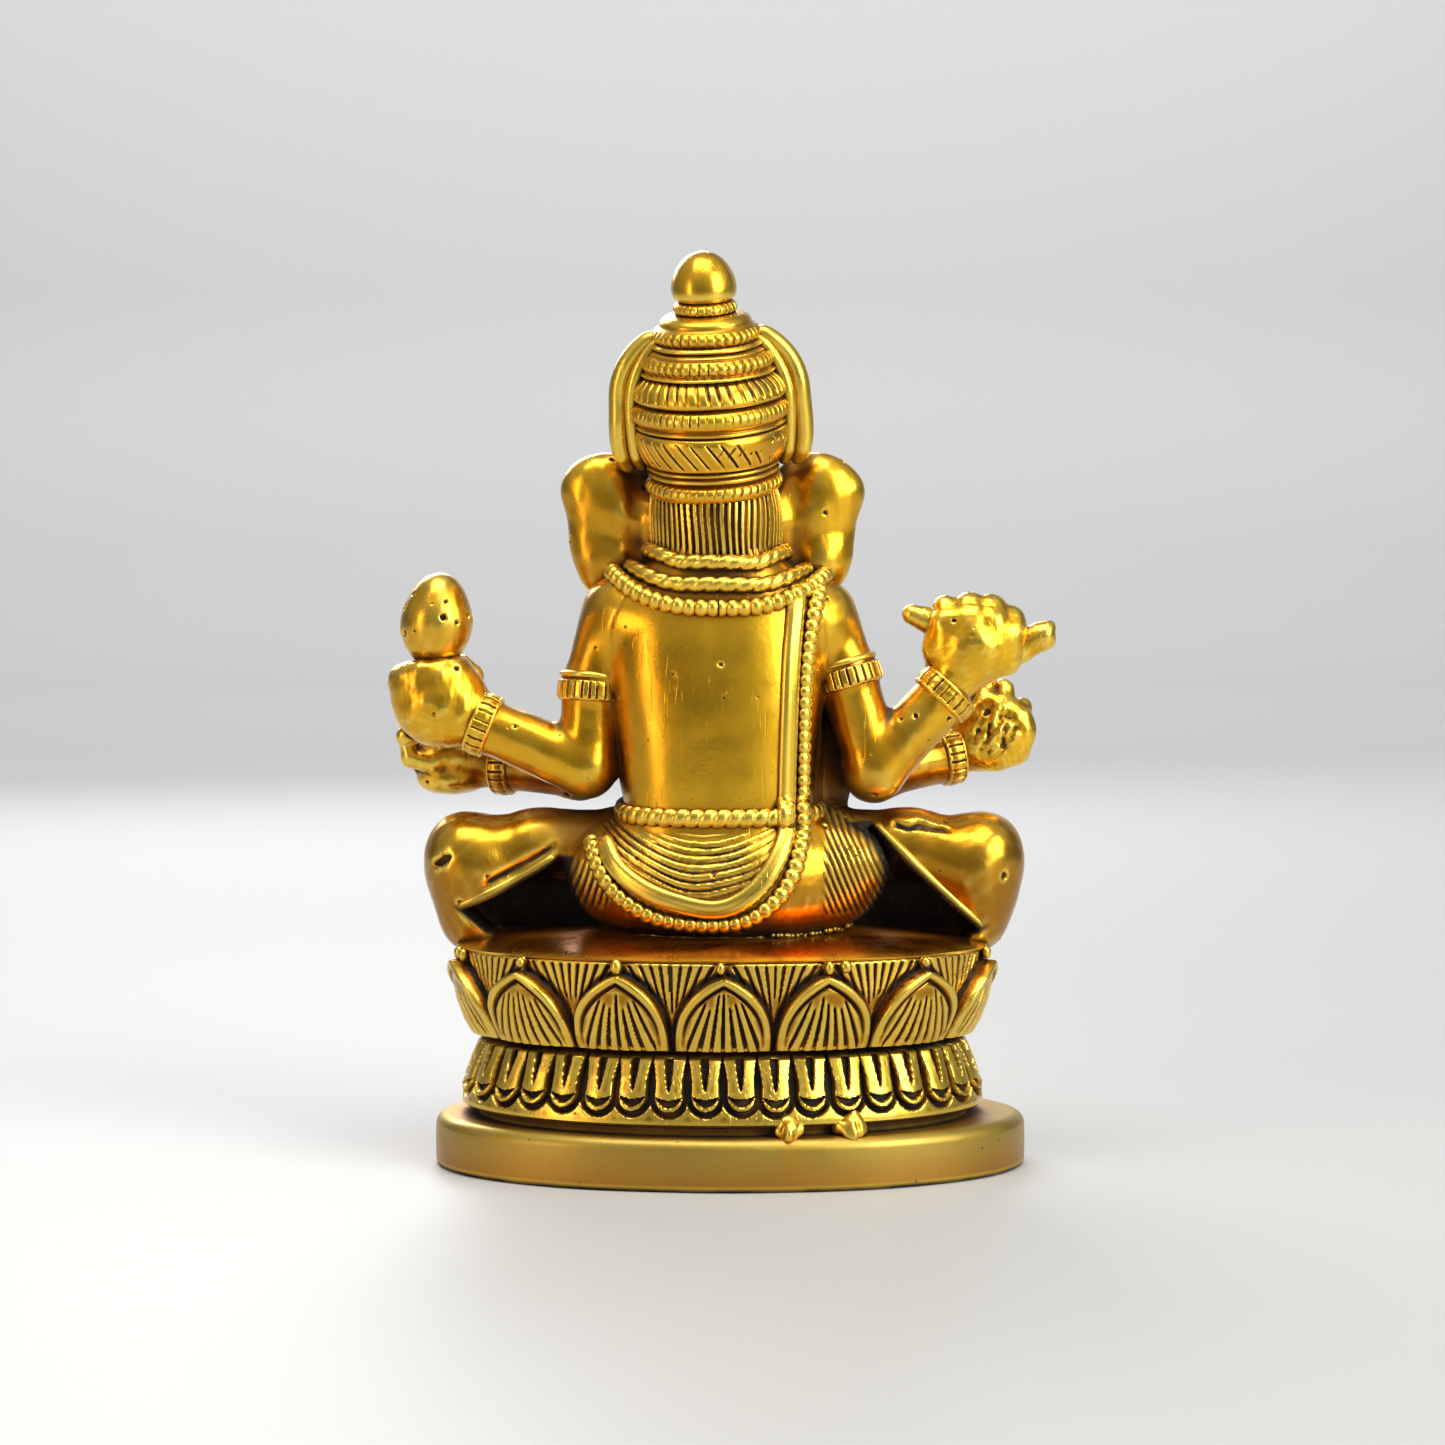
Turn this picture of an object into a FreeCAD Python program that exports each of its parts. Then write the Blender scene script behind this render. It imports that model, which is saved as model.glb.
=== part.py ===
import FreeCAD, Part
import Sketcher
import math
import os

# A seated elephant-headed figure in cast brass, on a lotus pedestal and an oval plinth.
# Millimetres. +Z is up, the figure faces -Y, and its own left hand side is +X.
# The origin is the centre of the flat face that the plinth rests on.

V = FreeCAD.Vector
UP = V(0, 0, 1)

doc = FreeCAD.newDocument("seated_idol")
sheet = doc.addObject("Spreadsheet::Sheet", "dims")

DIMENSIONS = {
    # plinth
    "plinth_half_width": 49.0,
    "plinth_half_depth": 30.0,
    "plinth_height": 8.5,
    "plinth_edge": 1.8,
    # pedestal: the lotus stands a little off the plinth's centre
    "pedestal_offset": 1.2,
    "hollow_half_width": 35.0,
    "hollow_half_depth": 19.0,
    "ring_foot_half_width": 40.8,
    "ring_foot_half_depth": 25.8,
    "waist_half_width": 38.8,
    "waist_half_depth": 24.2,
    "waist_height": 21.3,
    "tongue_half_width": 2.8,
    "tongue_half_length": 6.2,
    "tongue_half_thickness": 1.9,
    "bowl_half_width": 43.2,
    "bowl_half_depth": 27.2,
    "bowl_top": 34.6,
    "petal_half_width": 8.0,
    "petal_half_length": 7.4,
    "petal_half_thickness": 2.3,
    "seat_half_width": 44.2,
    "seat_half_depth": 27.9,
    "seat_rim_height": 36.3,
    "seat_top_height": 38.5,
    # lower body
    "hip_half_width": 27.0,
    "hip_half_depth": 18.0,
    "hip_half_height": 12.6,
    "hip_height": 47.6,
    "knee_reach": 41.6,
    "knee_height": 47.6,
    "knee_radius": 9.5,
    "thigh_radius": 7.0,
    "shin_radius": 5.6,
    "foot_radius": 3.9,
    # torso
    "waist_line": 57.0,
    "torso_half_width": 16.2,
    "torso_half_depth": 13.0,
    "shoulder_half_width": 18.6,
    "shoulder_height": 91.0,
    "neck_height": 101.0,
    "neck_radius": 9.6,
    "belt_height": 3.2,
    "belly_radius": 15.5,
    "sash_radius": 1.0,
    "sash_bead_radius": 1.35,
    "garland_thickness": 2.3,
    "garland_half_width": 13.2,
    "garland_half_depth": 12.4,
    # arms
    "shoulder_radius": 6.4,
    "arm_radius": 4.6,
    "wrist_radius": 3.7,
    "armlet_radius": 5.7,
    "armlet_height": 4.0,
    "wristband_radius": 5.3,
    "wristband_width": 3.2,
    "palm_radius": 6.4,
    "finger_radius": 1.55,
    "bud_radius": 6.0,
    "bud_half_height": 7.6,
    "rod_radius": 2.2,
    "bowl_radius": 6.2,
    "sweet_radius": 2.5,
    # head
    "head_radius": 12.4,
    "hair_radius": 11.1,
    "trunk_radius": 5.6,
    "trunk_tip_radius": 2.3,
    "tusk_radius": 1.7,
    "ear_half_width": 6.6,
    "ear_half_height": 8.6,
    "ear_half_thickness": 3.6,
    # crown: radius and height of each tier, from the bottom up
    "crown_height": 109.0,
    "band_radius": 11.4,
    "band_tall": 5.6,
    "dome_radius": 12.6,
    "dome_tall": 5.8,
    "ridge_radius": 13.2,
    "ridge_tall": 4.5,
    "flute_radius": 12.7,
    "flute_tall": 4.2,
    "bead_tier_radius": 11.2,
    "bead_tier_tall": 4.3,
    "upper_tier_radius": 8.6,
    "upper_tier_tall": 5.5,
    "collar_radius": 5.2,
    "collar_tall": 2.1,
    "finial_radius": 5.25,
    "finial_tall": 7.7,
    "loop_radius": 1.9,
}

TONGUES = 37
PETALS = 13
CROWN_LEAN_BACK = 7.5
CROWN_LEAN_LEFT = 3.0
GARLAND_TILT = -14

for row, (alias, number) in enumerate(DIMENSIONS.items(), start=1):
    sheet.set("A%d" % row, alias)
    sheet.set("B%d" % row, str(number))
    sheet.setAlias("B%d" % row, alias)
doc.recompute()

D = {alias: float(sheet.get(alias)) for alias in DIMENSIONS}
nodes = {}


# ---------------------------------------------------------------- helpers

def bind(thing, name, size):
    """Bind a property to the sheet. A size is (alias, factor) or a plain alias."""
    alias, factor = size if isinstance(size, tuple) else (size, 1.0)
    thing.setExpression(name, "dims.%s * %s" % (alias, factor))


def length(size):
    """The number that a size stands for."""
    alias, factor = size if isinstance(size, tuple) else (size, 1.0)
    return D[alias] * factor


def place(thing, position, rotation=None):
    thing.Placement = FreeCAD.Placement(V(*position), rotation or FreeCAD.Rotation())
    return thing


def ball(name, centre, radius):
    thing = doc.addObject("Part::Sphere", name)
    bind(thing, "Radius", radius)
    return place(thing, centre)


def egg(name, centre, half_x, half_y, half_z, rotation=None):
    """An ellipsoid with its half sizes along its own X, Y and Z."""
    thing = doc.addObject("Part::Ellipsoid", name)
    bind(thing, "Radius1", half_z)
    bind(thing, "Radius2", half_x)
    bind(thing, "Radius3", half_y)
    return place(thing, centre, rotation)


def taper(name, start, end, start_radius, end_radius):
    """A round bar from one point to another."""
    thing = doc.addObject("Part::Cone", name)
    bind(thing, "Radius1", start_radius)
    bind(thing, "Radius2", end_radius)
    axis = V(*end) - V(*start)
    thing.Height = axis.Length
    return place(thing, start, FreeCAD.Rotation(UP, axis))


def disc(name, centre, axis, radius, thickness):
    """A short cylinder centred on a point."""
    thing = doc.addObject("Part::Cylinder", name)
    bind(thing, "Radius", radius)
    bind(thing, "Height", thickness)
    turn = FreeCAD.Rotation(UP, V(*axis))
    base = V(*centre) - turn.multVec(UP) * (length(thickness) / 2)
    return place(thing, tuple(base), turn)


def fuse(name, pieces):
    if len(pieces) == 1:
        return pieces[0]
    thing = doc.addObject("Part::MultiFuse", name)
    thing.Shapes = pieces
    return thing


def limb(name, joints):
    """Round bars from joint to joint, with a ball at each. A joint is (point, radius)."""
    pieces = []
    for number, ((start, start_radius), (end, end_radius)) in enumerate(zip(joints, joints[1:])):
        pieces.append(taper("%s_bar%d" % (name, number), start, end, start_radius, end_radius))
    for number, (point, radius) in enumerate(joints):
        alias, factor = radius if isinstance(radius, tuple) else (radius, 1.0)
        pieces.append(ball("%s_ball%d" % (name, number), point, (alias, factor * 1.02)))
    return fuse(name, pieces)


def oval_loft(name, sections):
    """A solid through level ovals. A section is (x, y, z, half width, half depth)."""
    ovals = []
    for number, (x, y, z, half_width, half_depth) in enumerate(sections):
        oval = doc.addObject("Part::Ellipse", "%s_oval%d" % (name, number))
        bind(oval, "MajorRadius", half_width)
        bind(oval, "MinorRadius", half_depth)
        ovals.append(place(oval, (x, y, z)))
    thing = doc.addObject("Part::Loft", name)
    thing.Sections = ovals
    thing.Solid = True
    thing.Ruled = False
    return thing


def cut(name, base, tool):
    thing = doc.addObject("Part::Cut", name)
    thing.Base = base
    thing.Tool = tool
    return thing


def boxes_meet(first, second):
    return first.Shape.BoundBox.intersect(second.Shape.BoundBox)


def largest_solid(name, source):
    """Keep the main solid where a cut leaves crumbs beside it."""
    main = max(source.Shape.Solids, key=lambda solid: solid.Volume)
    thing = doc.addObject("Part::Feature", name + "_main")
    thing.Shape = main
    return thing


def finish(name, thing):
    """Cut a raw piece back from every finished neighbour, and make it the node called name."""
    doc.recompute()
    for other in list(nodes.values()):
        if not boxes_meet(thing, other):
            continue
        shared = thing.Shape.common(other.Shape).Volume
        if shared < 1e-4:
            continue
        before = thing.Shape.Volume
        thing = cut("%s_less_%s" % (name, other.Label), thing, other)
        doc.recompute()
        if thing.Shape.isNull() or abs(before - shared - thing.Shape.Volume) > 0.02 * before:
            raise RuntimeError("cutting %s back from %s lost its shape" % (name, other.Label))
    if len(thing.Shape.Solids) > 1:
        thing = largest_solid(name, thing)
        doc.recompute()
    thing.Label = name
    nodes[name] = thing
    return thing


def origin_feature(body, role):
    return next(part for part in body.Origin.OriginFeatures if part.Role == role)


def oval_sketch(body, name, centre_x, half_width, half_depth):
    """A sketch of one oval, its size bound to the sheet through two named constraints."""
    sketch = body.newObject("Sketcher::SketchObject", name)
    sketch.AttachmentSupport = (origin_feature(body, "XY_Plane"), [""])
    sketch.MapMode = "FlatFace"
    centre = V(centre_x, 0, 0)
    wide = centre + V(length(half_width), 0, 0)
    deep = centre + V(0, length(half_depth), 0)
    oval = sketch.addGeometry(Part.Ellipse(wide, deep, centre), False)
    sketch.exposeInternalGeometry(oval)
    major, minor = 1, 2
    for line, size, label in ((major, half_width, "width"), (minor, half_depth, "depth")):
        at = sketch.addConstraint(Sketcher.Constraint("Distance", line, 2 * length(size)))
        sketch.renameConstraint(at, label)
        sketch.setExpression("Constraints." + label, "2 * dims.%s" % size)
    sketch.addConstraint(Sketcher.Constraint("Horizontal", major))
    return sketch


def around_oval(half_width, half_depth, count, first=0.0):
    """Evenly spaced places round an oval, from its back: (x, y, heading of the outward normal)."""
    steps = 2000
    points = []
    for step in range(steps + 1):
        angle = math.pi / 2 + 2 * math.pi * step / steps
        points.append((half_width * math.cos(angle), half_depth * math.sin(angle)))
    walked = [0.0]
    for before, after in zip(points, points[1:]):
        walked.append(walked[-1] + math.hypot(after[0] - before[0], after[1] - before[1]))
    places = []
    for number in range(count):
        target = walked[-1] * ((number + first) / count % 1.0)
        x, y = points[next(at for at, far in enumerate(walked) if far >= target)]
        heading = math.degrees(math.atan2(y / half_depth ** 2, x / half_width ** 2))
        places.append((x, y, heading))
    return places


def leaning(heading, lean):
    """Local +Y turned to a level heading, then its top leaned outward by an angle."""
    return FreeCAD.Rotation(UP, heading - 90) * FreeCAD.Rotation(V(1, 0, 0), -lean)


# ---------------------------------------------------------------- plinth and pedestal

def plinth():
    body = doc.addObject("PartDesign::Body", "plinth_body")
    outline = oval_sketch(body, "plinth_outline", 0, "plinth_half_width", "plinth_half_depth")
    pad = body.newObject("PartDesign::Pad", "plinth_pad")
    pad.Profile = outline
    bind(pad, "Length", "plinth_height")
    doc.recompute()
    offset = D["pedestal_offset"]
    hole = oval_sketch(body, "plinth_hole", offset, "hollow_half_width", "hollow_half_depth")
    pocket = body.newObject("PartDesign::Pocket", "plinth_pocket")
    pocket.Profile = hole
    pocket.Type = 1
    pocket.Reversed = True
    doc.recompute()
    if pocket.Shape.Volume > pad.Shape.Volume - 1:
        raise RuntimeError("the plinth's hollow cuts nothing")
    top_edges = []
    for number, edge in enumerate(pocket.Shape.Edges, start=1):
        level = edge.BoundBox
        wide = level.XLength > 2 * D["hollow_half_width"] + 1
        if wide and abs(level.ZMin - D["plinth_height"]) < 0.01:
            top_edges.append("Edge%d" % number)
    fillet = body.newObject("PartDesign::Fillet", "plinth_top_edge")
    fillet.Base = (pocket, top_edges)
    bind(fillet, "Radius", "plinth_edge")
    doc.recompute()
    return finish("plinth", body)


def hollow(name, low, high):
    """The oval space inside the pedestal between two heights."""
    offset = D["pedestal_offset"]
    return oval_loft(name, [
        (offset, 0, low, "hollow_half_width", "hollow_half_depth"),
        (offset, 0, high, "hollow_half_width", "hollow_half_depth"),
    ])


def lower_petal_ring():
    """The drum between plinth and bowl, ringed with narrow petals that hang down and flare."""
    offset = D["pedestal_offset"]
    low, high = D["plinth_height"], D["waist_height"]
    drum = oval_loft("ring_drum", [
        (offset, 0, low, "ring_foot_half_width", "ring_foot_half_depth"),
        (offset, 0, high, "waist_half_width", "waist_half_depth"),
    ])
    pieces = [drum]
    middle = low + 0.5 * (high - low)
    lean = -13.0
    for number, (x, y, heading) in enumerate(around_oval(40.6, 25.8, TONGUES, 0.5)):
        pieces.append(egg("ring_tongue%d" % number, (x + offset, y, middle),
                          "tongue_half_width", "tongue_half_thickness", "tongue_half_length",
                          leaning(heading, lean)))
    whole = fuse("ring_whole", pieces)
    return finish("lower_petal_ring", cut("ring_open", whole, hollow("ring_hollow", low - 1, high + 1)))


def lotus_bowl():
    """The bowl of broad upright petals, open underneath."""
    offset = D["pedestal_offset"]
    low, high = D["waist_height"], D["bowl_top"]
    shell = oval_loft("bowl_shell", [
        (offset, 0, low, "waist_half_width", "waist_half_depth"),
        (offset, 0, low + 0.45 * (high - low), ("bowl_half_width", 0.945), ("bowl_half_depth", 0.945)),
        (offset, 0, high, "bowl_half_width", "bowl_half_depth"),
    ])
    pieces = [shell]
    middle = low + 0.44 * (high - low)
    lean = 15.0
    for number, (x, y, heading) in enumerate(around_oval(41.2, 25.6, PETALS)):
        pieces.append(egg("bowl_petal%d" % number, (x + offset, y, middle),
                          "petal_half_width", "petal_half_thickness", "petal_half_length",
                          leaning(heading, lean)))
    whole = fuse("bowl_whole", pieces)
    opened = cut("bowl_open", whole, hollow("bowl_hollow", low - 1, high + 1))
    below = doc.addObject("Part::Box", "bowl_below")
    below.Length = 120
    below.Width = 80
    below.Height = 10
    place(below, (-60, -40, low - 10))
    return finish("lotus_bowl", cut("bowl_level", opened, below))


def seat_plate():
    """The gently domed seat that closes the pedestal's top."""
    offset = D["pedestal_offset"]
    rim, top = D["seat_rim_height"], D["seat_top_height"]
    plate = oval_loft("seat_edge", [
        (offset, 0, D["bowl_top"], "bowl_half_width", "bowl_half_depth"),
        (offset, 0, rim, "seat_half_width", "seat_half_depth"),
    ])
    crown = oval_loft("seat_crown", [
        (offset, 0, rim, ("seat_half_width", 0.995), ("seat_half_depth", 0.99)),
        (offset, 0, rim + 0.75 * (top - rim), ("seat_half_width", 0.86), ("seat_half_depth", 0.78)),
        (offset, 0, top, ("seat_half_width", 0.55), ("seat_half_depth", 0.50)),
    ])
    return finish("seat_plate", fuse("seat_whole", [plate, crown]))


# ---------------------------------------------------------------- lower body

def hips():
    centre = (D["pedestal_offset"], 0.5, D["hip_height"])
    return finish("hips", egg("hips_raw", centre, "hip_half_width", "hip_half_depth", "hip_half_height"))


def leg(side, sign):
    """A thigh out to the knee, and the shin folded back across the front."""
    offset = D["pedestal_offset"]
    hip = (offset + sign * 15, -1.0, 51.5)
    knee = (offset * 0.5 + sign * D["knee_reach"], -1.5, D["knee_height"])
    ankle = (offset + sign * 11, -19.5, 43.6 if sign > 0 else 44.6)
    thigh = limb(side + "_thigh", [(hip, "thigh_radius"), (knee, "knee_radius")])
    shin = limb(side + "_shin", [((knee[0] - sign * 4, -4.0, knee[2] - 2.0), ("knee_radius", 0.74)),
                                 (ankle, "shin_radius")])
    return finish(side + "_leg", fuse(side + "_leg_raw", [thigh, shin]))


def foot(side, sign):
    """A foot that points past the middle, with its toes."""
    offset = D["pedestal_offset"]
    rise = 0.0 if sign > 0 else 2.4
    heel = (offset + sign * 9, -21.5, 42.6 + rise)
    toes = (offset - sign * 5, -23.5, 42.4 + rise)
    sole = limb(side + "_sole", [(heel, "foot_radius"), (toes, ("foot_radius", 0.85))])
    pieces = [sole]
    for number in range(5):
        tip = (toes[0] - sign * 3.4, toes[1] - 1.4 + 0.2 * number, toes[2] + 2.4 - 1.35 * number)
        pieces.append(ball("%s_toe%d" % (side, number), tip, ("finger_radius", 1.0 - 0.08 * number)))
    return finish(side + "_foot", fuse(side + "_foot_raw", pieces))


# ---------------------------------------------------------------- torso and dress

def torso():
    x, y, low = 1.8, 2.0, D["waist_line"] - 4
    shoulder, neck = D["shoulder_height"], D["neck_height"]
    return finish("torso", oval_loft("torso_raw", [
        (1.2, y, low, "torso_half_width", "torso_half_depth"),
        (x, y, low + 13, ("torso_half_width", 1.0), ("torso_half_depth", 1.04)),
        (x, y, shoulder - 9, "shoulder_half_width", ("torso_half_depth", 1.0)),
        (x, y - 0.5, shoulder + 2, ("shoulder_half_width", 0.9), ("torso_half_depth", 0.88)),
        (2.0, y - 0.5, neck - 2, ("neck_radius", 1.1), "neck_radius"),
    ]))


def belt():
    """A rope belt round the waist."""
    low = D["waist_line"] - 0.2
    high = low + D["belt_height"]
    wide, deep = ("torso_half_width", 1.09), ("torso_half_depth", 1.12)
    return finish("belt", oval_loft("belt_raw", [
        (1.4, 2.0, low, wide, deep),
        (1.4, 2.0, high, wide, deep),
    ]))


def belly():
    centre = (1.6, -7.0, 67.5)
    return finish("belly", egg("belly_raw", centre, ("belly_radius", 1.05), "belly_radius",
                               ("belly_radius", 0.96)))


def back_at(x, z, under):
    """How far back the dressed figure's surface stands at a place seen from behind."""
    ray = Part.makeLine(V(x, -5, z), V(x, 60, z))
    reach = [-5.0]
    for thing in under:
        crossing = thing.Shape.common(ray)
        reach.extend(vertex.Point.y for vertex in crossing.Vertexes)
    return max(reach)


def draped(name, route, radius, under):
    """A cord laid on the back along a route of (x, z) points."""
    joints = []
    for x, z in route:
        joints.append(((x, back_at(x, z, under) + 0.25 * length(radius), z), radius))
    return finish(name, limb(name + "_raw", joints))


def sash_cord():
    """The smooth inner cord, from the right shoulder to the left hip."""
    route = [(-11.0, 90.0), (-10.0, 84.0), (-9.4, 74.0), (-9.0, 62.0), (-9.0, 59.6), (-9.0, 57.2),
             (-8.7, 53.8), (-6.0, 49.4),
             (-2.2, 45.4), (2.6, 43.8), (9.2, 44.8), (14.2, 46.8), (18.2, 49.8), (20.4, 53.6)]
    return draped("sash_cord", route, "sash_radius", [nodes["torso"], nodes["hips"], nodes["belt"]])


def sash_beads():
    """The beaded outer cord beside it."""
    route = [(-13.0, 88.3), (-12.4, 83.0), (-11.9, 74.0), (-11.6, 62.0), (-11.6, 59.6), (-11.6, 57.2),
             (-11.4, 53.8), (-10.0, 49.0),
             (-6.8, 44.8), (-2.0, 41.9), (4.4, 41.2), (10.8, 42.0), (15.0, 43.6), (18.6, 46.0),
             (21.4, 49.4)]
    under = [nodes["torso"], nodes["hips"], nodes["belt"], nodes["sash_cord"]]
    return draped("sash_beads", route, "sash_bead_radius", under)


def garland(number):
    """One of three flat-lying ropes round the neck, stacked face to face and lowest at the back."""
    tilt = FreeCAD.Rotation(V(1, 0, 0), GARLAND_TILT)
    axis = tilt.multVec(UP)
    thickness = D["garland_thickness"]
    centre = V(1.7, 1.2, D["neck_height"] - 2.6) - axis * (number - 1) * thickness
    spread = 1.0 + 0.19 * (number - 1)
    ovals = []
    for step, (shift, shrink) in enumerate(((-0.5, 0.94), (-0.25, 1.0), (0.25, 1.0), (0.5, 0.94))):
        oval = doc.addObject("Part::Ellipse", "garland%d_oval%d" % (number, step))
        bind(oval, "MajorRadius", ("garland_half_width", spread * shrink))
        bind(oval, "MinorRadius", ("garland_half_depth", (1.0 + 0.12 * (number - 1)) * shrink))
        ovals.append(place(oval, tuple(centre + axis * shift * thickness), tilt))
    ring = doc.addObject("Part::Loft", "garland_raw%d" % number)
    ring.Sections = ovals
    ring.Solid = True
    ring.Ruled = True
    return finish("garland_%d" % number, ring)


# ---------------------------------------------------------------- head

def hair():
    """The cropped hair at the back of the head, under the crown."""
    neck = D["neck_height"]
    return finish("hair", oval_loft("hair_raw", [
        (1.9, 1.2, neck - 4, ("hair_radius", 0.93), ("hair_radius", 0.9)),
        (2.1, 1.4, neck + 3, "hair_radius", "hair_radius"),
        (2.3, 1.8, neck + 10, "hair_radius", "hair_radius"),
    ]))


def head():
    return finish("head", egg("head_raw", (2.1, -6.0, 105.0), ("head_radius", 1.02), "head_radius",
                              ("head_radius", 0.98)))


def trunk():
    """The trunk hangs down over the belly and curls to the figure's left."""
    path = [(2.1, -15.5, 104.0), (2.1, -20.5, 96.5), (1.8, -22.8, 88.0), (1.2, -23.6, 79.5),
            (2.4, -25.2, 72.0), (7.2, -26.0, 67.4), (12.4, -25.2, 68.6), (14.2, -24.6, 73.2)]
    last = len(path) - 1
    joints = []
    for number, point in enumerate(path):
        slim = 1.0 - (1.0 - D["trunk_tip_radius"] / D["trunk_radius"]) * number / last
        joints.append((point, ("trunk_radius", round(slim, 3))))
    return finish("trunk", limb("trunk_raw", joints))


def tusk(side, sign, reach):
    """A short tusk. The right one is broken off."""
    root = (2.1 + sign * 6.2, -15.2, 99.0)
    tip = (root[0] + sign * 2.6 * reach, root[1] - 8.0 * reach, root[2] - 4.4 * reach)
    end = 0.45 if sign > 0 else 0.85
    return finish(side + "_tusk", limb(side + "_tusk_raw", [(root, "tusk_radius"),
                                                           (tip, ("tusk_radius", end))]))


def ear(side, sign):
    """A broad ear that narrows downwards."""
    centre_x = 2.1 + sign * 18.2
    lobe = egg(side + "_ear_lobe", (centre_x, -2.0, 108.6), "ear_half_width", "ear_half_thickness",
               "ear_half_height", FreeCAD.Rotation(V(0, 1, 0), sign * 8))
    tail = taper(side + "_ear_tail", (centre_x - sign * 3.0, -2.2, 95.8), (centre_x - sign * 0.3, -2.0, 108),
                 ("ear_half_thickness", 0.6), ("ear_half_thickness", 1.25))
    root = egg(side + "_ear_root", (2.1 + sign * 12.0, -3.0, 106.0), ("ear_half_width", 0.8),
               ("ear_half_thickness", 0.8), ("ear_half_height", 0.8))
    return finish(side + "_ear", fuse(side + "_ear_raw", [lobe, tail, root]))


# ---------------------------------------------------------------- crown

CROWN_TURN = FreeCAD.Rotation(V(0, 1, 0), CROWN_LEAN_LEFT) * FreeCAD.Rotation(V(1, 0, 0), -CROWN_LEAN_BACK)
CROWN_FOOT = V(2.4, 2.0, D["crown_height"])


def crown_point(out, along, back=0.0):
    """A place in the crown's own leaning frame."""
    point = CROWN_FOOT + CROWN_TURN.multVec(V(out, back, along))
    return (point.x, point.y, point.z)


def crown_drum(name, along, tall, low_radius, high_radius):
    thing = doc.addObject("Part::Cone", name)
    bind(thing, "Radius1", low_radius)
    bind(thing, "Radius2", high_radius)
    bind(thing, "Height", tall)
    return place(thing, crown_point(0, along), CROWN_TURN)


def crown_rope(name, along, reach, thickness):
    thing = doc.addObject("Part::Torus", name)
    bind(thing, "Radius1", reach)
    bind(thing, "Radius2", thickness)
    return place(thing, crown_point(0, along), CROWN_TURN)


def crown():
    """The tiers, stacked face to face along the leaning axis."""
    along = 1.6
    tall = D["band_tall"]
    drum = crown_drum("band_drum", along, "band_tall", ("band_radius", 0.93), ("band_radius", 0.94))
    ropes = [crown_rope("band_rope%d" % n, along + tall * at, ("band_radius", 0.93), ("band_tall", 0.18))
             for n, at in enumerate((0.27, 0.76))]
    finish("crown_band", fuse("band_raw", [drum] + ropes))
    along += tall

    drum = crown_drum("dome_drum", along, "dome_tall", ("dome_radius", 0.9), "dome_radius")
    finish("crown_dome", drum)
    along += D["dome_tall"]

    tiers = (("ridge", "dome_radius"), ("flute", "flute_radius"), ("bead_tier", "bead_tier_radius"))
    for name, inner in tiers:
        tall, radius = name + "_tall", name + "_radius"
        drum = crown_drum(name + "_drum", along, tall, (radius, 0.93), (radius, 0.86))
        rope = crown_rope(name + "_rope", along + D[tall] * 0.42, (radius, 0.9), (tall, 0.32))
        finish("crown_" + name, fuse(name + "_raw", [drum, rope]))
        along += D[tall]

    drum = crown_drum("upper_drum", along, "upper_tier_tall", ("upper_tier_radius", 0.95),
                      ("upper_tier_radius", 0.6))
    rope = crown_rope("upper_rope", along + 1.9, ("upper_tier_radius", 0.84), ("upper_tier_tall", 0.25))
    finish("crown_upper_tier", fuse("upper_raw", [drum, rope]))
    along += D["upper_tier_tall"]

    drum = crown_drum("collar_drum", along, "collar_tall", ("collar_radius", 0.85), ("collar_radius", 0.7))
    rope = crown_rope("collar_rope", along + 1.0, ("collar_radius", 0.8), ("collar_tall", 0.36))
    finish("crown_collar", fuse("collar_raw", [drum, rope]))
    along += D["collar_tall"]
    return along


def finial(along):
    """An egg-shaped knob turned about the crown's axis."""
    body = doc.addObject("PartDesign::Body", "finial_body")
    sketch = body.newObject("Sketcher::SketchObject", "finial_profile")
    sketch.AttachmentSupport = (origin_feature(body, "XZ_Plane"), [""])
    sketch.MapMode = "FlatFace"
    radius, tall = D["finial_radius"], D["finial_tall"]
    foot, belly_at, neck_at = 0.62 * radius, 0.36 * tall, 0.80 * tall
    tip = 0.12 * radius
    corners = [V(0, 0, 0), V(foot, 0, 0), V(radius, belly_at, 0), V(0.52 * radius, neck_at, 0), V(tip, tall, 0),
               V(0, tall, 0)]
    lower = (foot + radius) / 2 + 0.09 * radius
    upper = 0.84 * radius
    sketch.addGeometry(Part.LineSegment(corners[0], corners[1]), False)
    sketch.addGeometry(Part.Arc(corners[1], V(lower, 0.45 * belly_at, 0), corners[2]), False)
    sketch.addGeometry(Part.Arc(corners[2], V(upper, 0.62 * tall, 0), corners[3]), False)
    sketch.addGeometry(Part.Arc(corners[3], V(0.35 * radius, 0.92 * tall, 0), corners[4]), False)
    sketch.addGeometry(Part.LineSegment(corners[4], corners[5]), False)
    sketch.addGeometry(Part.LineSegment(corners[5], corners[0]), False)
    lines = len(corners)
    for line in range(lines):
        end, start = (2, 1)
        sketch.addConstraint(Sketcher.Constraint("Coincident", line, end, (line + 1) % lines, start))
    at = sketch.addConstraint(Sketcher.Constraint("DistanceY", lines - 1, 2, lines - 1, 1, tall))
    sketch.renameConstraint(at, "tall")
    sketch.setExpression("Constraints.tall", "dims.finial_tall")
    turned = body.newObject("PartDesign::Revolution", "finial_turned")
    turned.Profile = sketch
    turned.ReferenceAxis = (origin_feature(body, "Z_Axis"), [""])
    turned.Angle = 360
    doc.recompute()
    place(body, crown_point(0, along), CROWN_TURN)
    return finish("crown_finial", body)


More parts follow.
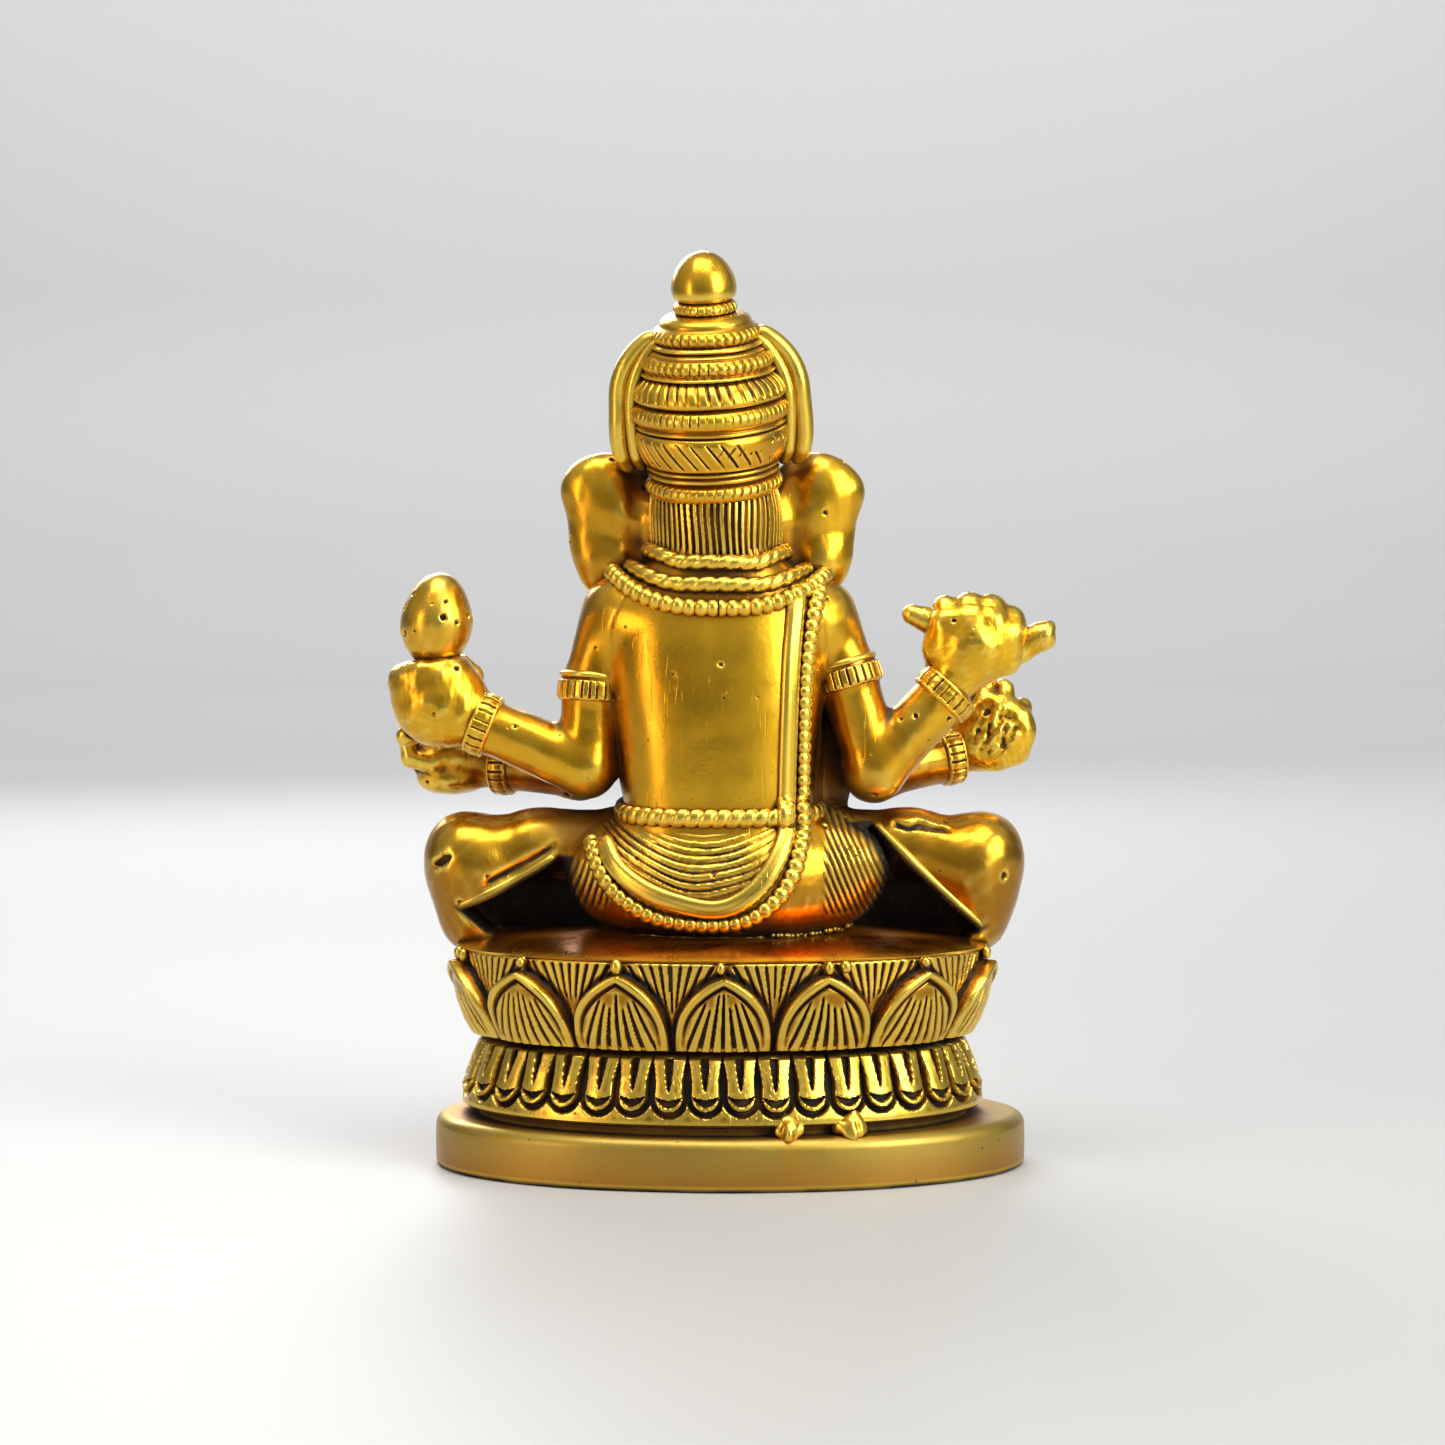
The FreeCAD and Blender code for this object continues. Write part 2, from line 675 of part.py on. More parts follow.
def crown_loop(side, sign):
    """A thick rope that arches from the upper tier down to the ear."""
    out_and_up = [(8.0, 27.2), (12.0, 24.6), (14.8, 19.2), (15.4, 12.5), (15.2, 6.0)]
    joints = [(crown_point(sign * out, along), "loop_radius") for out, along in out_and_up]
    return finish(side + "_crown_loop", limb(side + "_loop_raw", joints))


# ---------------------------------------------------------------- arms

def away(first, second):
    return tuple(b - a for a, b in zip(first, second))


def band(name, at, axis, radius, thickness):
    """A bracelet, put in place before the arm, which is then cut back to its faces."""
    return finish(name, disc(name + "_raw", at, axis, radius, thickness))


def fingers(name, knuckles, tips):
    pieces = []
    for number, (knuckle, tip) in enumerate(zip(knuckles, tips)):
        pieces.append(limb("%s_finger%d" % (name, number), [(knuckle, "finger_radius"),
                                                            (tip, ("finger_radius", 0.85))]))
    return pieces


def rear_arm(name, shoulder, armlet, elbow, wrist):
    """Upper arm, armlet, forearm and wristband of one raised rear arm."""
    band(name + "_armlet", armlet, away(shoulder, armlet), "armlet_radius", "armlet_height")
    band(name + "_wristband", wrist, away(elbow, wrist), "wristband_radius", "wristband_width")
    upper = limb(name + "_upper_raw", [(shoulder, "shoulder_radius"), (armlet, "arm_radius")])
    finish(name + "_upper_arm", upper)
    joints = [(armlet, ("arm_radius", 0.95)), (elbow, ("arm_radius", 1.05)), (wrist, "wrist_radius")]
    finish(name + "_forearm", limb(name + "_fore_raw", joints))


def rear_left_arm():
    shoulder, armlet = (17.6, 1.5, 91.0), (22.8, 2.0, 78.6)
    elbow, wrist = (23.9, 3.0, 66.0), (40.6, 2.0, 72.6)
    rear_arm("rear_left", shoulder, armlet, elbow, wrist)
    bud = egg("bud_raw", (48.2, 1.0, 90.8), "bud_radius", "bud_radius", "bud_half_height",
              FreeCAD.Rotation(V(0, 1, 0), -8))
    finish("lotus_bud", bud)
    palm = egg("rear_left_palm", (47.8, 1.0, 77.8), ("palm_radius", 1.02), ("palm_radius", 0.9), "palm_radius")
    wrist_root = limb("rear_left_root", [(wrist, "wrist_radius"), ((45.0, 1.5, 75.0), ("palm_radius", 0.75))])
    knuckles = [(43.6 + 2.9 * n, -1.5, 80.0) for n in range(4)]
    tips = [(44.2 + 2.5 * n, -4.6, 84.6) for n in range(4)]
    thumb_root, thumb_tip = (43.0, 3.0, 79.0), (44.4, 5.2, 84.4)
    digits = fingers("rear_left", knuckles + [thumb_root], tips + [thumb_tip])
    finish("rear_left_hand", fuse("rear_left_hand_raw", [palm, wrist_root] + digits))


def rear_right_arm():
    shoulder, armlet = (-14.2, 1.5, 91.0), (-19.4, 2.0, 80.8)
    elbow, wrist = (-23.2, 3.0, 65.8), (-35.4, 2.0, 77.6)
    rear_arm("rear_right", shoulder, armlet, elbow, wrist)
    rod = limb("rod_raw", [((-29.2, 0.0, 90.4), ("rod_radius", 0.6)), ((-33.5, 0.5, 88.0), ("rod_radius", 0.85)),
                           ((-41.0, 1.0, 85.6), "rod_radius"), ((-46.6, 1.5, 85.6), "rod_radius"),
                           ((-51.4, 2.0, 88.2), "rod_radius")])
    finish("goad_handle", rod)
    palm = egg("rear_right_palm", (-39.6, 1.5, 84.8), ("palm_radius", 0.9), ("palm_radius", 0.85),
               ("palm_radius", 1.1))
    root = limb("rear_right_root", [(wrist, "wrist_radius"), ((-38.4, 1.8, 81.6), ("palm_radius", 0.75))])
    knuckles = [(-35.4 - 3.3 * n, 2.6, 90.6) for n in range(4)]
    tips = [(-35.8 - 3.1 * n, -3.0, 87.6) for n in range(4)]
    digits = fingers("rear_right", knuckles, tips)
    finish("rear_right_hand", fuse("rear_right_hand_raw", [palm, root] + digits))


def front_arm(name, shoulder, elbow, wrist):
    band(name + "_wristband", wrist, away(elbow, wrist), ("wristband_radius", 0.95), "wristband_width")
    joints = [(shoulder, ("shoulder_radius", 0.85)), (elbow, ("arm_radius", 1.05)), (wrist, "wrist_radius")]
    finish(name + "_arm", limb(name + "_raw", joints))


def front_left_arm():
    """This hand lies palm up and holds a bowl of sweets."""
    front_arm("front_left", (16.5, -6.0, 84.0), (25.6, -8.5, 64.6), (38.0, -12.5, 65.0))
    centre = (47.4, -14.5, 66.4)
    cup_foot = (47.6, -16.0, 69.4)
    cup = taper("cup_raw", cup_foot, (47.6, -16.0, 74.6), ("bowl_radius", 0.55), "bowl_radius")
    inside = taper("cup_inside", (47.6, -16.0, 71.0), (47.6, -16.0, 75.0), ("bowl_radius", 0.45),
                   ("bowl_radius", 0.86))
    finish("sweets_bowl", cut("cup_open", cup, inside))
    sweets = [ball("sweet_middle", (47.6, -16.0, 76.6), "sweet_radius")]
    for number in range(5):
        angle = math.radians(72 * number)
        spot = (47.6 + 3.3 * math.cos(angle), -16.0 + 3.3 * math.sin(angle), 74.2)
        sweets.append(ball("sweet%d" % number, spot, "sweet_radius"))
    finish("sweets", fuse("sweets_raw", sweets))
    palm = egg("front_left_palm", centre, ("palm_radius", 1.05), ("palm_radius", 0.95), ("palm_radius", 0.62))
    root = limb("front_left_root", [((38.0, -12.5, 65.0), "wrist_radius"), ((42.4, -13.6, 65.8), "wrist_radius")])
    knuckles = [(50.4, -18.2 + 2.7 * n, 66.0) for n in range(4)]
    tips = [(54.0, -18.0 + 2.6 * n, 69.6) for n in range(4)]
    digits = fingers("front_left", knuckles, tips)
    finish("front_left_hand", fuse("front_left_hand_raw", [palm, root] + digits))


def front_right_arm():
    """This hand is raised in blessing, its palm to the front."""
    wrist = (-37.0, -12.5, 66.6)
    front_arm("front_right", (-13.5, -6.0, 84.0), (-24.2, -8.5, 63.6), wrist)
    palm = egg("front_right_palm", (-43.0, -13.6, 71.2), ("palm_radius", 0.98), ("palm_radius", 0.6),
               ("palm_radius", 1.05), FreeCAD.Rotation(V(0, 1, 0), -35))
    root = limb("front_right_root", [(wrist, "wrist_radius"), ((-40.6, -13.2, 69.6), "wrist_radius")])
    knuckles = [(-48.2 + 2.4 * n, -13.8, 72.0 + 1.5 * n) for n in range(4)]
    tips = [(-51.6 + 2.9 * n, -14.8, 76.0 + 1.7 * n) for n in range(4)]
    thumb_root, thumb_tip = (-38.6, -15.0, 73.4), (-37.4, -16.4, 77.6)
    digits = fingers("front_right", knuckles + [thumb_root], tips + [thumb_tip])
    finish("front_right_hand", fuse("front_right_hand_raw", [palm, root] + digits))


# ---------------------------------------------------------------- build

plinth()
lower_petal_ring()
lotus_bowl()
seat_plate()
hips()
torso()
for number in (1, 2, 3):
    garland(number)
finial(crown())
belt()
belly()
leg("left", 1)
leg("right", -1)
foot("left", 1)
foot("right", -1)
hair()
head()
sash_cord()
sash_beads()
for side, sign in (("left", 1), ("right", -1)):
    crown_loop(side, sign)
    ear(side, sign)
trunk()
tusk("left", 1, 1.0)
tusk("right", -1, 0.45)
rear_left_arm()
rear_right_arm()
front_left_arm()
front_right_arm()

doc.recompute()
faults = []
for thing in doc.Objects:
    if "Invalid" in thing.State or "Error" in thing.State:
        faults.append("%s is %s" % (thing.Name, thing.State))
for name, thing in nodes.items():
    if thing.Shape.isNull() or not thing.Shape.isValid() or not thing.Shape.Solids:
        faults.append("%s has no valid solid" % name)
if faults:
    raise RuntimeError("; ".join(faults))

os.makedirs("parts", exist_ok=True)
for name, thing in nodes.items():
    thing.Shape.exportStep("parts/%s.step" % name)
    print("%-22s %9.1f mm3, %d solid(s)" % (name, thing.Shape.Volume, len(thing.Shape.Solids)))
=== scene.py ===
import bpy
import math
import numpy as np
import openvdb
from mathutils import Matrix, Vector


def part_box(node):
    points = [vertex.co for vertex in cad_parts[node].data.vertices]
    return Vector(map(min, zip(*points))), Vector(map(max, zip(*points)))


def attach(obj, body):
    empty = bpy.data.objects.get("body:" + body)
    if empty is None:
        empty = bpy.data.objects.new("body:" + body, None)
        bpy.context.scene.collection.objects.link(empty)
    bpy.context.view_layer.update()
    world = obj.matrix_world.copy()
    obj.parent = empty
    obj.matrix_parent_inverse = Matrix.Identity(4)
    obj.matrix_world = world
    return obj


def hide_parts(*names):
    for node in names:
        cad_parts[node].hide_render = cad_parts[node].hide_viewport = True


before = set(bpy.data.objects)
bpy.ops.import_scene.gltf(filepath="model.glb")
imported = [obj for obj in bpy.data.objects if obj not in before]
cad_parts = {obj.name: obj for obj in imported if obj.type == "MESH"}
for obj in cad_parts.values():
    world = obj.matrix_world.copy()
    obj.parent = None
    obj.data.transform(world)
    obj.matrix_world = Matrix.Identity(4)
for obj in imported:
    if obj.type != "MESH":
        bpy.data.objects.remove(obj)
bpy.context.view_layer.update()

# Shapes are worked out in millimetres and turned into metres when a mesh is made.
# +Z is up, the figure faces -Y, its own left hand side is +X, as in the frame.

MM = 0.001
FINE = 1.0


# ================================================================ numbers and fields

def mm_box(node):
    low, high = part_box(node)
    return np.array(low) / MM, np.array(high) / MM


def arr(*values):
    return np.array(values, dtype=np.float32)


def step(edge_low, edge_high, value):
    """Smooth step from 0 to 1; the edges may be in either order."""
    share = np.clip((value - edge_low) / (edge_high - edge_low), 0.0, 1.0)
    return share * share * (3.0 - 2.0 * share)


def soft_min(first, second, reach):
    """The lesser of two fields, blended over a reach."""
    near = np.maximum(reach - np.abs(first - second), 0.0) / reach
    return np.minimum(first, second) - near * near * reach * 0.25


def merged(total, *more):
    """Fields blended into one in turn. More holds (field, reach) pairs."""
    for field, reach in more:
        total = soft_min(total, field, reach)
    return total


def soft_max(first, second, reach):
    return -soft_min(-first, -second, reach)


def waves(points, size, seed, count=7):
    """Smooth unevenness between about -1 and 1, with bumps of a given size."""
    rng = np.random.default_rng(seed)
    total = np.zeros(len(points), dtype=np.float32)
    for _ in range(count):
        way = rng.normal(size=3)
        way /= np.linalg.norm(way)
        rate = 2.0 * math.pi / (size * rng.uniform(0.75, 1.6))
        total += np.sin(points @ (way * rate).astype(np.float32) + rng.uniform(0, 6.28))
    return total / (0.6 * count)


def ball(points, centre, radius):
    return np.linalg.norm(points - arr(*centre), axis=1) - radius


def egg(points, centre, radii, turn=None):
    """An ellipsoid; turn is a 3x3 matrix from its own axes to the frame's."""
    local = points - arr(*centre)
    if turn is not None:
        local = local @ np.asarray(turn, dtype=np.float32)
    radii = arr(*radii)
    first = np.linalg.norm(local / radii, axis=1)
    second = np.linalg.norm(local / (radii * radii), axis=1)
    return first * (first - 1.0) / np.maximum(second, 1e-6)


def bar(points, start, end, start_radius, end_radius):
    """A round bar whose radius changes evenly from start to end."""
    start, end = arr(*start), arr(*end)
    along = end - start
    share = np.clip((points - start) @ along / float(along @ along), 0.0, 1.0)
    middle = start + share[:, None] * along
    return np.linalg.norm(points - middle, axis=1) - (start_radius + (end_radius - start_radius) * share)


def limb(points, joints, blend=1.0):
    """Round bars from joint to joint. A joint is ((x, y, z), radius)."""
    total = None
    for (start, start_radius), (end, end_radius) in zip(joints, joints[1:]):
        piece = bar(points, start, end, start_radius, end_radius)
        total = piece if total is None else soft_min(total, piece, blend)
    return total


def turn_about(axis, degrees):
    """The 3x3 matrix of a turn about x, y or z."""
    c, s = math.cos(math.radians(degrees)), math.sin(math.radians(degrees))
    rows = {"x": ((1, 0, 0), (0, c, -s), (0, s, c)),
            "y": ((c, 0, s), (0, 1, 0), (-s, 0, c)),
            "z": ((c, -s, 0), (s, c, 0), (0, 0, 1))}
    return np.array(rows[axis])


def curve_through(points, count):
    """A smooth open line of count points through the given ones (Catmull-Rom)."""
    points = np.array(points, dtype=float)
    ends = np.vstack([2 * points[0] - points[1], points, 2 * points[-1] - points[-2]])
    result = []
    for place in np.linspace(0, len(points) - 1, count):
        at = min(int(place), len(points) - 2)
        t = place - at
        p0, p1, p2, p3 = ends[at:at + 4]
        result.append(0.5 * (2 * p1 + (p2 - p0) * t + (2 * p0 - 5 * p1 + 4 * p2 - p3) * t * t
                             + (3 * p1 - p0 - 3 * p2 + p3) * t ** 3))
    return np.array(result)


# ================================================================ meshes

def finished(name, mesh, sharp):
    """Turn a mesh into a smooth-shaded piece of the one body, with its recesses and its painted shade marked.
    """
    mesh.validate()
    mesh.shade_smooth()
    mesh.set_sharp_from_angle(angle=math.radians(sharp))
    mark_recesses(mesh)
    piece = bpy.data.objects.new(name, mesh)
    bpy.context.scene.collection.objects.link(piece)
    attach(piece, "root")
    return piece


def mesh_of_faces(name, vertices, faces):
    """A piece from vertices in millimetres and faces with three or four different corners."""
    mesh = bpy.data.meshes.new(name)
    mesh.from_pydata((np.asarray(vertices) * MM).tolist(), [], [list(dict.fromkeys(face)) for face in faces])
    return finished(name, mesh, 60)


def smooth_mesh(name, vertices, faces):
    """A piece from vertices in millimetres and four-cornered faces."""
    mesh = bpy.data.meshes.new(name)
    vertices = np.asarray(vertices, dtype=np.float32)
    quads = np.asarray(faces, dtype=np.int32)
    mesh.vertices.add(len(vertices))
    mesh.vertices.foreach_set("co", (vertices * MM).ravel())
    size = quads.shape[1]
    mesh.loops.add(quads.size)
    mesh.loops.foreach_set("vertex_index", quads.ravel())
    mesh.polygons.add(len(quads))
    mesh.polygons.foreach_set("loop_start", np.arange(0, quads.size, size, dtype=np.int32))
    mesh.polygons.foreach_set("loop_total", np.full(len(quads), size, dtype=np.int32))
    mesh.update(calc_edges=True)
    return finished(name, mesh, 48)


def painted_shade_at(points):
    """Painted shade, dark under the thighs and in the corners between hip, side and elbow."""
    total = np.zeros(len(points), dtype=np.float32)
    for sign, corner in ((1, (25.0, 2.5, 57.5)), (-1, (-20.0, 2.5, 58.5))):
        inside = step(0.9, 0.2, under_thigh(points, sign)) * step(9.5, 5.0, points[:, 1])
        inside = inside * step(15.0, 19.0, sign * (points[:, 0] - LEGS_X)) * step(37.2, 38.2, points[:, 2])
        near = 0.62 * step(9.5, 3.5, ball(points, corner, 0.0) + 1.5 * waves(points, 5.0, 93))
        total = np.maximum(total, np.maximum(inside, near))
    return total


def mark_recesses(mesh, width=0.85, depth=0.16):
    """Store two point attributes: hollow, each point's depth below its smoothed surroundings, and one that
    paints shade under the thighs and in the corners between hip, side and elbow.
    """
    count = len(mesh.vertices)
    places = np.empty(count * 3, dtype=np.float32)
    mesh.vertices.foreach_get("co", places)
    places = places.reshape(-1, 3) / MM
    pairs = np.empty(len(mesh.edges) * 2, dtype=np.int32)
    mesh.edges.foreach_get("vertices", pairs)
    pairs = pairs.reshape(-1, 2)
    ends, others = np.concatenate([pairs[:, 0], pairs[:, 1]]), np.concatenate([pairs[:, 1], pairs[:, 0]])
    degree = np.maximum(np.bincount(ends, minlength=count), 1)
    smooth = places.astype(np.float64)
    grain = float(np.median(np.linalg.norm(places[pairs[:, 0]] - places[pairs[:, 1]], axis=1)))
    for _ in range(int(np.clip((width / max(grain, 0.05)) ** 2, 3, 36))):
        smooth = np.stack([np.bincount(ends, weights=smooth[others, axis], minlength=count) / degree
                           for axis in range(3)], axis=1)
    normals = np.empty(count * 3, dtype=np.float32)
    mesh.vertices.foreach_get("normal", normals)
    below = np.einsum("ij,ij->i", smooth - places, normals.reshape(-1, 3)) / depth
    mark = mesh.attributes.new("hollow", "FLOAT", "POINT")
    mark.data.foreach_set("value", np.clip(below, -1.5, 1.5).astype(np.float32))
    mark = mesh.attributes.new("painted_shade", "FLOAT", "POINT")
    mark.data.foreach_set("value", painted_shade_at(places).astype(np.float32))


def grid_faces(rows, columns, wrap_rows=False, wrap_columns=True):
    """Quads between rows of points; row 0 to row 1 turns outward when rows climb and columns go round."""
    row = np.arange(rows if wrap_rows else rows - 1)
    column = np.arange(columns if wrap_columns else columns - 1)
    r, c = np.meshgrid(row, column, indexing="ij")
    next_r, next_c = (r + 1) % rows, (c + 1) % columns
    quads = np.stack([r * columns + c, r * columns + next_c,
                      next_r * columns + next_c, next_r * columns + c], axis=-1)
    return quads.reshape(-1, 4)


def skin(field, low, high, voxel):
    """The surface where a distance field is zero, worked out only in blocks near it."""
    side = 8
    low, high = np.array(low, dtype=np.float32), np.array(high, dtype=np.float32)
    voxel = voxel / FINE
    blocks = np.ceil((high - low) / (side * voxel)).astype(int)
    starts = np.stack(np.meshgrid(*[np.arange(n) for n in blocks], indexing="ij"), axis=-1).reshape(-1, 3)
    centres = low + (starts * side + 0.5 * (side - 1)) * voxel
    rough = field(centres.astype(np.float32))
    reach = 0.5 * side * voxel * math.sqrt(3) * 1.35 + 0.4
    near = np.abs(rough) < reach
    dense = np.empty(tuple(np.stack([blocks, [side] * 3], axis=1).ravel()), dtype=np.float32)
    dense[:] = rough.reshape(tuple(blocks))[:, None, :, None, :, None]
    inner = np.stack(np.meshgrid(*[np.arange(side)] * 3, indexing="ij"), axis=-1).reshape(-1, 3)
    active = starts[near]
    for first in range(0, len(active), 1500):
        some = active[first:first + 1500]
        points = low + (some[:, None, :] * side + inner[None]).reshape(-1, 3) * voxel
        values = field(points.astype(np.float32)).reshape(-1, side, side, side)
        dense[some[:, 0], :, some[:, 1], :, some[:, 2], :] = values
    dense = np.ascontiguousarray(dense.reshape(tuple(blocks * side)))
    grid = openvdb.FloatGrid(float(reach))
    grid.copyFromArray(dense)
    points, quads = grid.convertToQuads(0.0)
    return low + points * voxel, quads.astype(np.int32)


def moulded(name, field, low, high, voxel, relief=None):
    """A piece from a distance field, with an optional engraving pressed along its normals."""
    points, quads = skin(field, low, high, voxel)
    if relief is not None:
        normals = slope(field, points.astype(np.float32))
        points = points + normals * relief(points.astype(np.float32), normals)[:, None]
    return smooth_mesh(name, points, quads)


def slope(field, points, reach=0.15):
    """The outward direction of a field at points near its surface."""
    parts = []
    for axis in range(3):
        shift = np.zeros(3, dtype=np.float32)
        shift[axis] = reach
        parts.append(field(points + shift) - field(points - shift))
    direction = np.stack(parts, axis=1)
    return direction / np.maximum(np.linalg.norm(direction, axis=1, keepdims=True), 1e-6)


def seen_from_behind(field, x, z, start=45.0):
    """How far back (+Y) a field's surface stands at places seen from behind."""
    x, z = np.asarray(x, dtype=np.float32), np.asarray(z, dtype=np.float32)
    y = np.full(len(x), start, dtype=np.float32)
    for _ in range(60):
        y -= np.maximum(field(np.stack([x, y, z], axis=1)), -0.5) * 0.85
    return y


# ================================================================ pedestal

PEDESTAL_X = float(mm_box("lower_petal_ring")[0][0] + mm_box("lower_petal_ring")[1][0]) / 2
PLINTH_TOP = float(mm_box("plinth")[1][2])
WAIST_Z = float(mm_box("lower_petal_ring")[1][2])
BOWL_TOP = float(mm_box("lotus_bowl")[1][2])
SEAT_TOP = float(mm_box("seat_plate")[1][2])
WAIST_WIDE, WAIST_DEEP = 38.8, 24.2
TONGUES = 37
PETALS = 13


def oval_track(wide, deep, columns):
    """Even steps round an oval from its back: places, outward normals and distance walked."""
    angle = np.pi / 2 + np.linspace(0, 2 * np.pi, 20001)
    x, y = wide * np.cos(angle), deep * np.sin(angle)
    walked = np.concatenate([[0], np.cumsum(np.hypot(np.diff(x), np.diff(y)))])
    target = np.arange(columns) * walked[-1] / columns
    x, y = np.interp(target, walked, x), np.interp(target, walked, y)
    normal = np.stack([x / wide ** 2, y / deep ** 2], axis=1)
    normal /= np.linalg.norm(normal, axis=1, keepdims=True)
    return np.stack([x, y], axis=1), normal, target, walked[-1]


def profile_rows(corners, spacing):
    """Points along a polyline profile, no further apart than a spacing."""
    rows = []
    for (out, height), (next_out, next_height) in zip(corners, corners[1:]):
        steps = max(1, int(math.ceil(math.hypot(next_out - out, next_height - height) / spacing)))
        for at in range(steps):
            share = at / steps
            rows.append((out + (next_out - out) * share, height + (next_height - height) * share))
    rows.append(corners[-1])
    return np.array(rows)


def thin_hidden(rows, hidden, stride=6):
    """Fewer rows on the faces that neighbours cover: those further in than hidden keep one row in a few."""
    keep = (rows[:, 0] > hidden) | (np.arange(len(rows)) % stride == 0)
    return rows[keep]


def oval_wall(name, corners, relief, columns, spacing, wide=WAIST_WIDE, deep=WAIST_DEEP, centre_x=None,
              hidden=-2.0):
    """A wall round an oval: profile corners are (outward, height) and relief adds outward."""
    track, normal, walked, total = oval_track(wide, deep, int(columns * FINE))
    rows = thin_hidden(profile_rows(corners, spacing / FINE)[:-1], hidden)
    # outward distance as seen round the track, so that a pattern keeps its true width
    height = np.repeat(rows[:, 1][:, None], len(track), axis=1)
    out = np.repeat(rows[:, 0][:, None], len(track), axis=1)
    along = np.repeat((walked / total)[None], len(rows), axis=0)
    out = out + relief(along, height, out, total)
    centre_x = PEDESTAL_X if centre_x is None else centre_x
    points = np.stack([centre_x + track[None, :, 0] + normal[None, :, 0] * out,
                       track[None, :, 1] + normal[None, :, 1] * out, height], axis=-1)
    faces = grid_faces(len(rows), len(track), wrap_rows=True)
    return smooth_mesh(name, points.reshape(-1, 3), faces)


def petal_places(along, count, shift, seed, wander):
    """For each place round the oval: which petal it is on, and its offset from that petal's middle."""
    rng = np.random.default_rng(seed)
    wobble = rng.uniform(-wander, wander, count)
    share = along * count + shift
    index = np.floor(share + 0.5).astype(int) % count
    offset = share - np.floor(share + 0.5) + wobble[index]
    return index, offset


def make_plinth():
    """The oval base plate: a plain smooth edge, rounded at the top."""
    wide, deep, top = 49.0, 30.0, PLINTH_TOP
    radius, steps = 2.0, 8
    corners = [(-12.0, 0.0), (-0.8, 0.0), (-0.25, 0.25), (0.0, 0.8), (0.05, 0.55 * top)]
    for at in range(steps + 1):
        angle = math.pi / 2 * at / steps
        corners.append((radius * (math.cos(angle) - 1.0), top - radius + radius * math.sin(angle)))
    corners += [(-6.0, top + 0.02), (-12.0, top), (-12.0, 0.0)]

    def relief(along, height, out, total):
        sway = 0.10 * np.sin(along * 2 * np.pi * 5 + 1.0) + 0.06 * np.sin(along * 2 * np.pi * 11 + 2.0)
        squarer = 0.25 * np.cos(along * 8 * np.pi + np.pi)
        return np.where(out > -8, sway + squarer, 0.0)

    piece = oval_wall("plinth_cast", corners, relief, 760, 0.35, wide=wide, deep=deep, centre_x=0.0,
                      hidden=-12.0)
    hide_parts("plinth")
    return piece


def make_lower_ring():
    """The drum with its ring of narrow hanging petals."""
    low, high = PLINTH_TOP, WAIST_Z
    rim = low + 1.7
    corners = [(1.6, low), (1.7, rim - 0.15), (3.0, rim - 0.05), (3.55, rim + 0.35), (3.5, rim + 1.0),
               (2.9, rim + 3.6), (1.5, rim + 7.5), (0.1, high - 0.35), (-0.6, high + 0.4), (-4.0, high + 0.4),
               (-4.0, low), (1.6, low)]
    spacing = 6.05  # from one narrow petal to the next
    foot = 14.9  # where their round ends start

    def relief(along, height, out, total):
        index, offset = petal_places(along, TONGUES, 0.5, 3, 0.035)
        rng = np.random.default_rng(5)
        lean = rng.uniform(-0.05, 0.05, TONGUES)[index]
        side = offset * spacing + lean * (height - 15.0)
        lift = height + rng.uniform(-0.2, 0.2, TONGUES)[index]
        gap = 0.78 * np.clip((high - 1.2 - lift) / 5.0, 0, 1) ** 0.7
        half = 0.5 * spacing - gap - 0.10 + 0.30 * step(17.2, 14.4, lift)
        outside = np.hypot(side, np.maximum(foot - lift, 0)) - half
        body = step(0.18, -0.22, outside) * step(high + 0.1, high - 0.9, height)
        rounded = 0.35 * np.clip(1 - (side / 2.6) ** 2, 0, 1)
        slit_half = 0.66 * np.clip((lift - 15.6) / 4.2, 0, 1) ** 0.6
        slit = step(0.16, -0.16, np.abs(side) - slit_half) * step(15.5, 16.1, lift) * step(20.9, 20.3, lift)
        smile = np.abs(lift - (13.85 + 0.20 * side ** 2)) - 0.50 * np.clip(1.1 - (side / 2.1) ** 2, 0, 1)
        crescent = step(0.14, -0.14, smile) * (np.abs(side) < 2.2)
        scallop = step(0.72, 1.02, outside) * step(14.4, 13.4, height)
        band = step(rim + 1.05, rim + 0.55, height)
        inside_wall = (out > -0.7) & (height > rim - 0.1)
        raised = body * (1.55 + rounded - 1.35 * slit - 1.05 * crescent)
        raised = np.maximum(raised, 1.35 * np.maximum(scallop, band * 0.8))
        return np.where(inside_wall, raised - 0.55, 0.0)

    piece = oval_wall("lower_petal_ring_cast", corners, relief, 1500, 0.2)
    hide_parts("lower_petal_ring")
    return piece


PETAL_SPACING = 17.35
PETAL_TALL = 12.4
PETAL_HALF_WIDTH = 8.35


def petal_outline(height, base):
    """Half the width of a broad petal at a height above the bowl's foot."""
    rise = np.clip((height - base) / PETAL_TALL, 0, 1.2)
    return PETAL_HALF_WIDTH * np.clip(1 - np.clip(rise, 0, 1) ** 2.6, 0, 1) ** 0.72


def strokes(side, reach, degrees, half_width, seed):
    """Chisel strokes that fan out from a point: each keeps its width, and each ends at its own distance."""
    reach = np.maximum(reach, 0.3)
    share = np.degrees(np.arctan2(side, reach)) / degrees
    number = np.floor(share + 0.5)
    off = np.abs(share - number) * np.radians(degrees) * np.hypot(side, reach)
    draw = np.abs(np.sin(number * 12.9898 + seed * 4.1414) * 43758.5453) % 1.0
    far = np.hypot(side, reach)
    start = 4.6 + 3.4 * draw + 0.25 * np.abs(number)
    thick = half_width * (0.7 + 0.6 * draw) * (0.5 + 0.9 * step(start, start + 6.5, far))
    return step(thick + 0.13, thick - 0.10, off) * step(start - 0.4, start + 0.5, far)


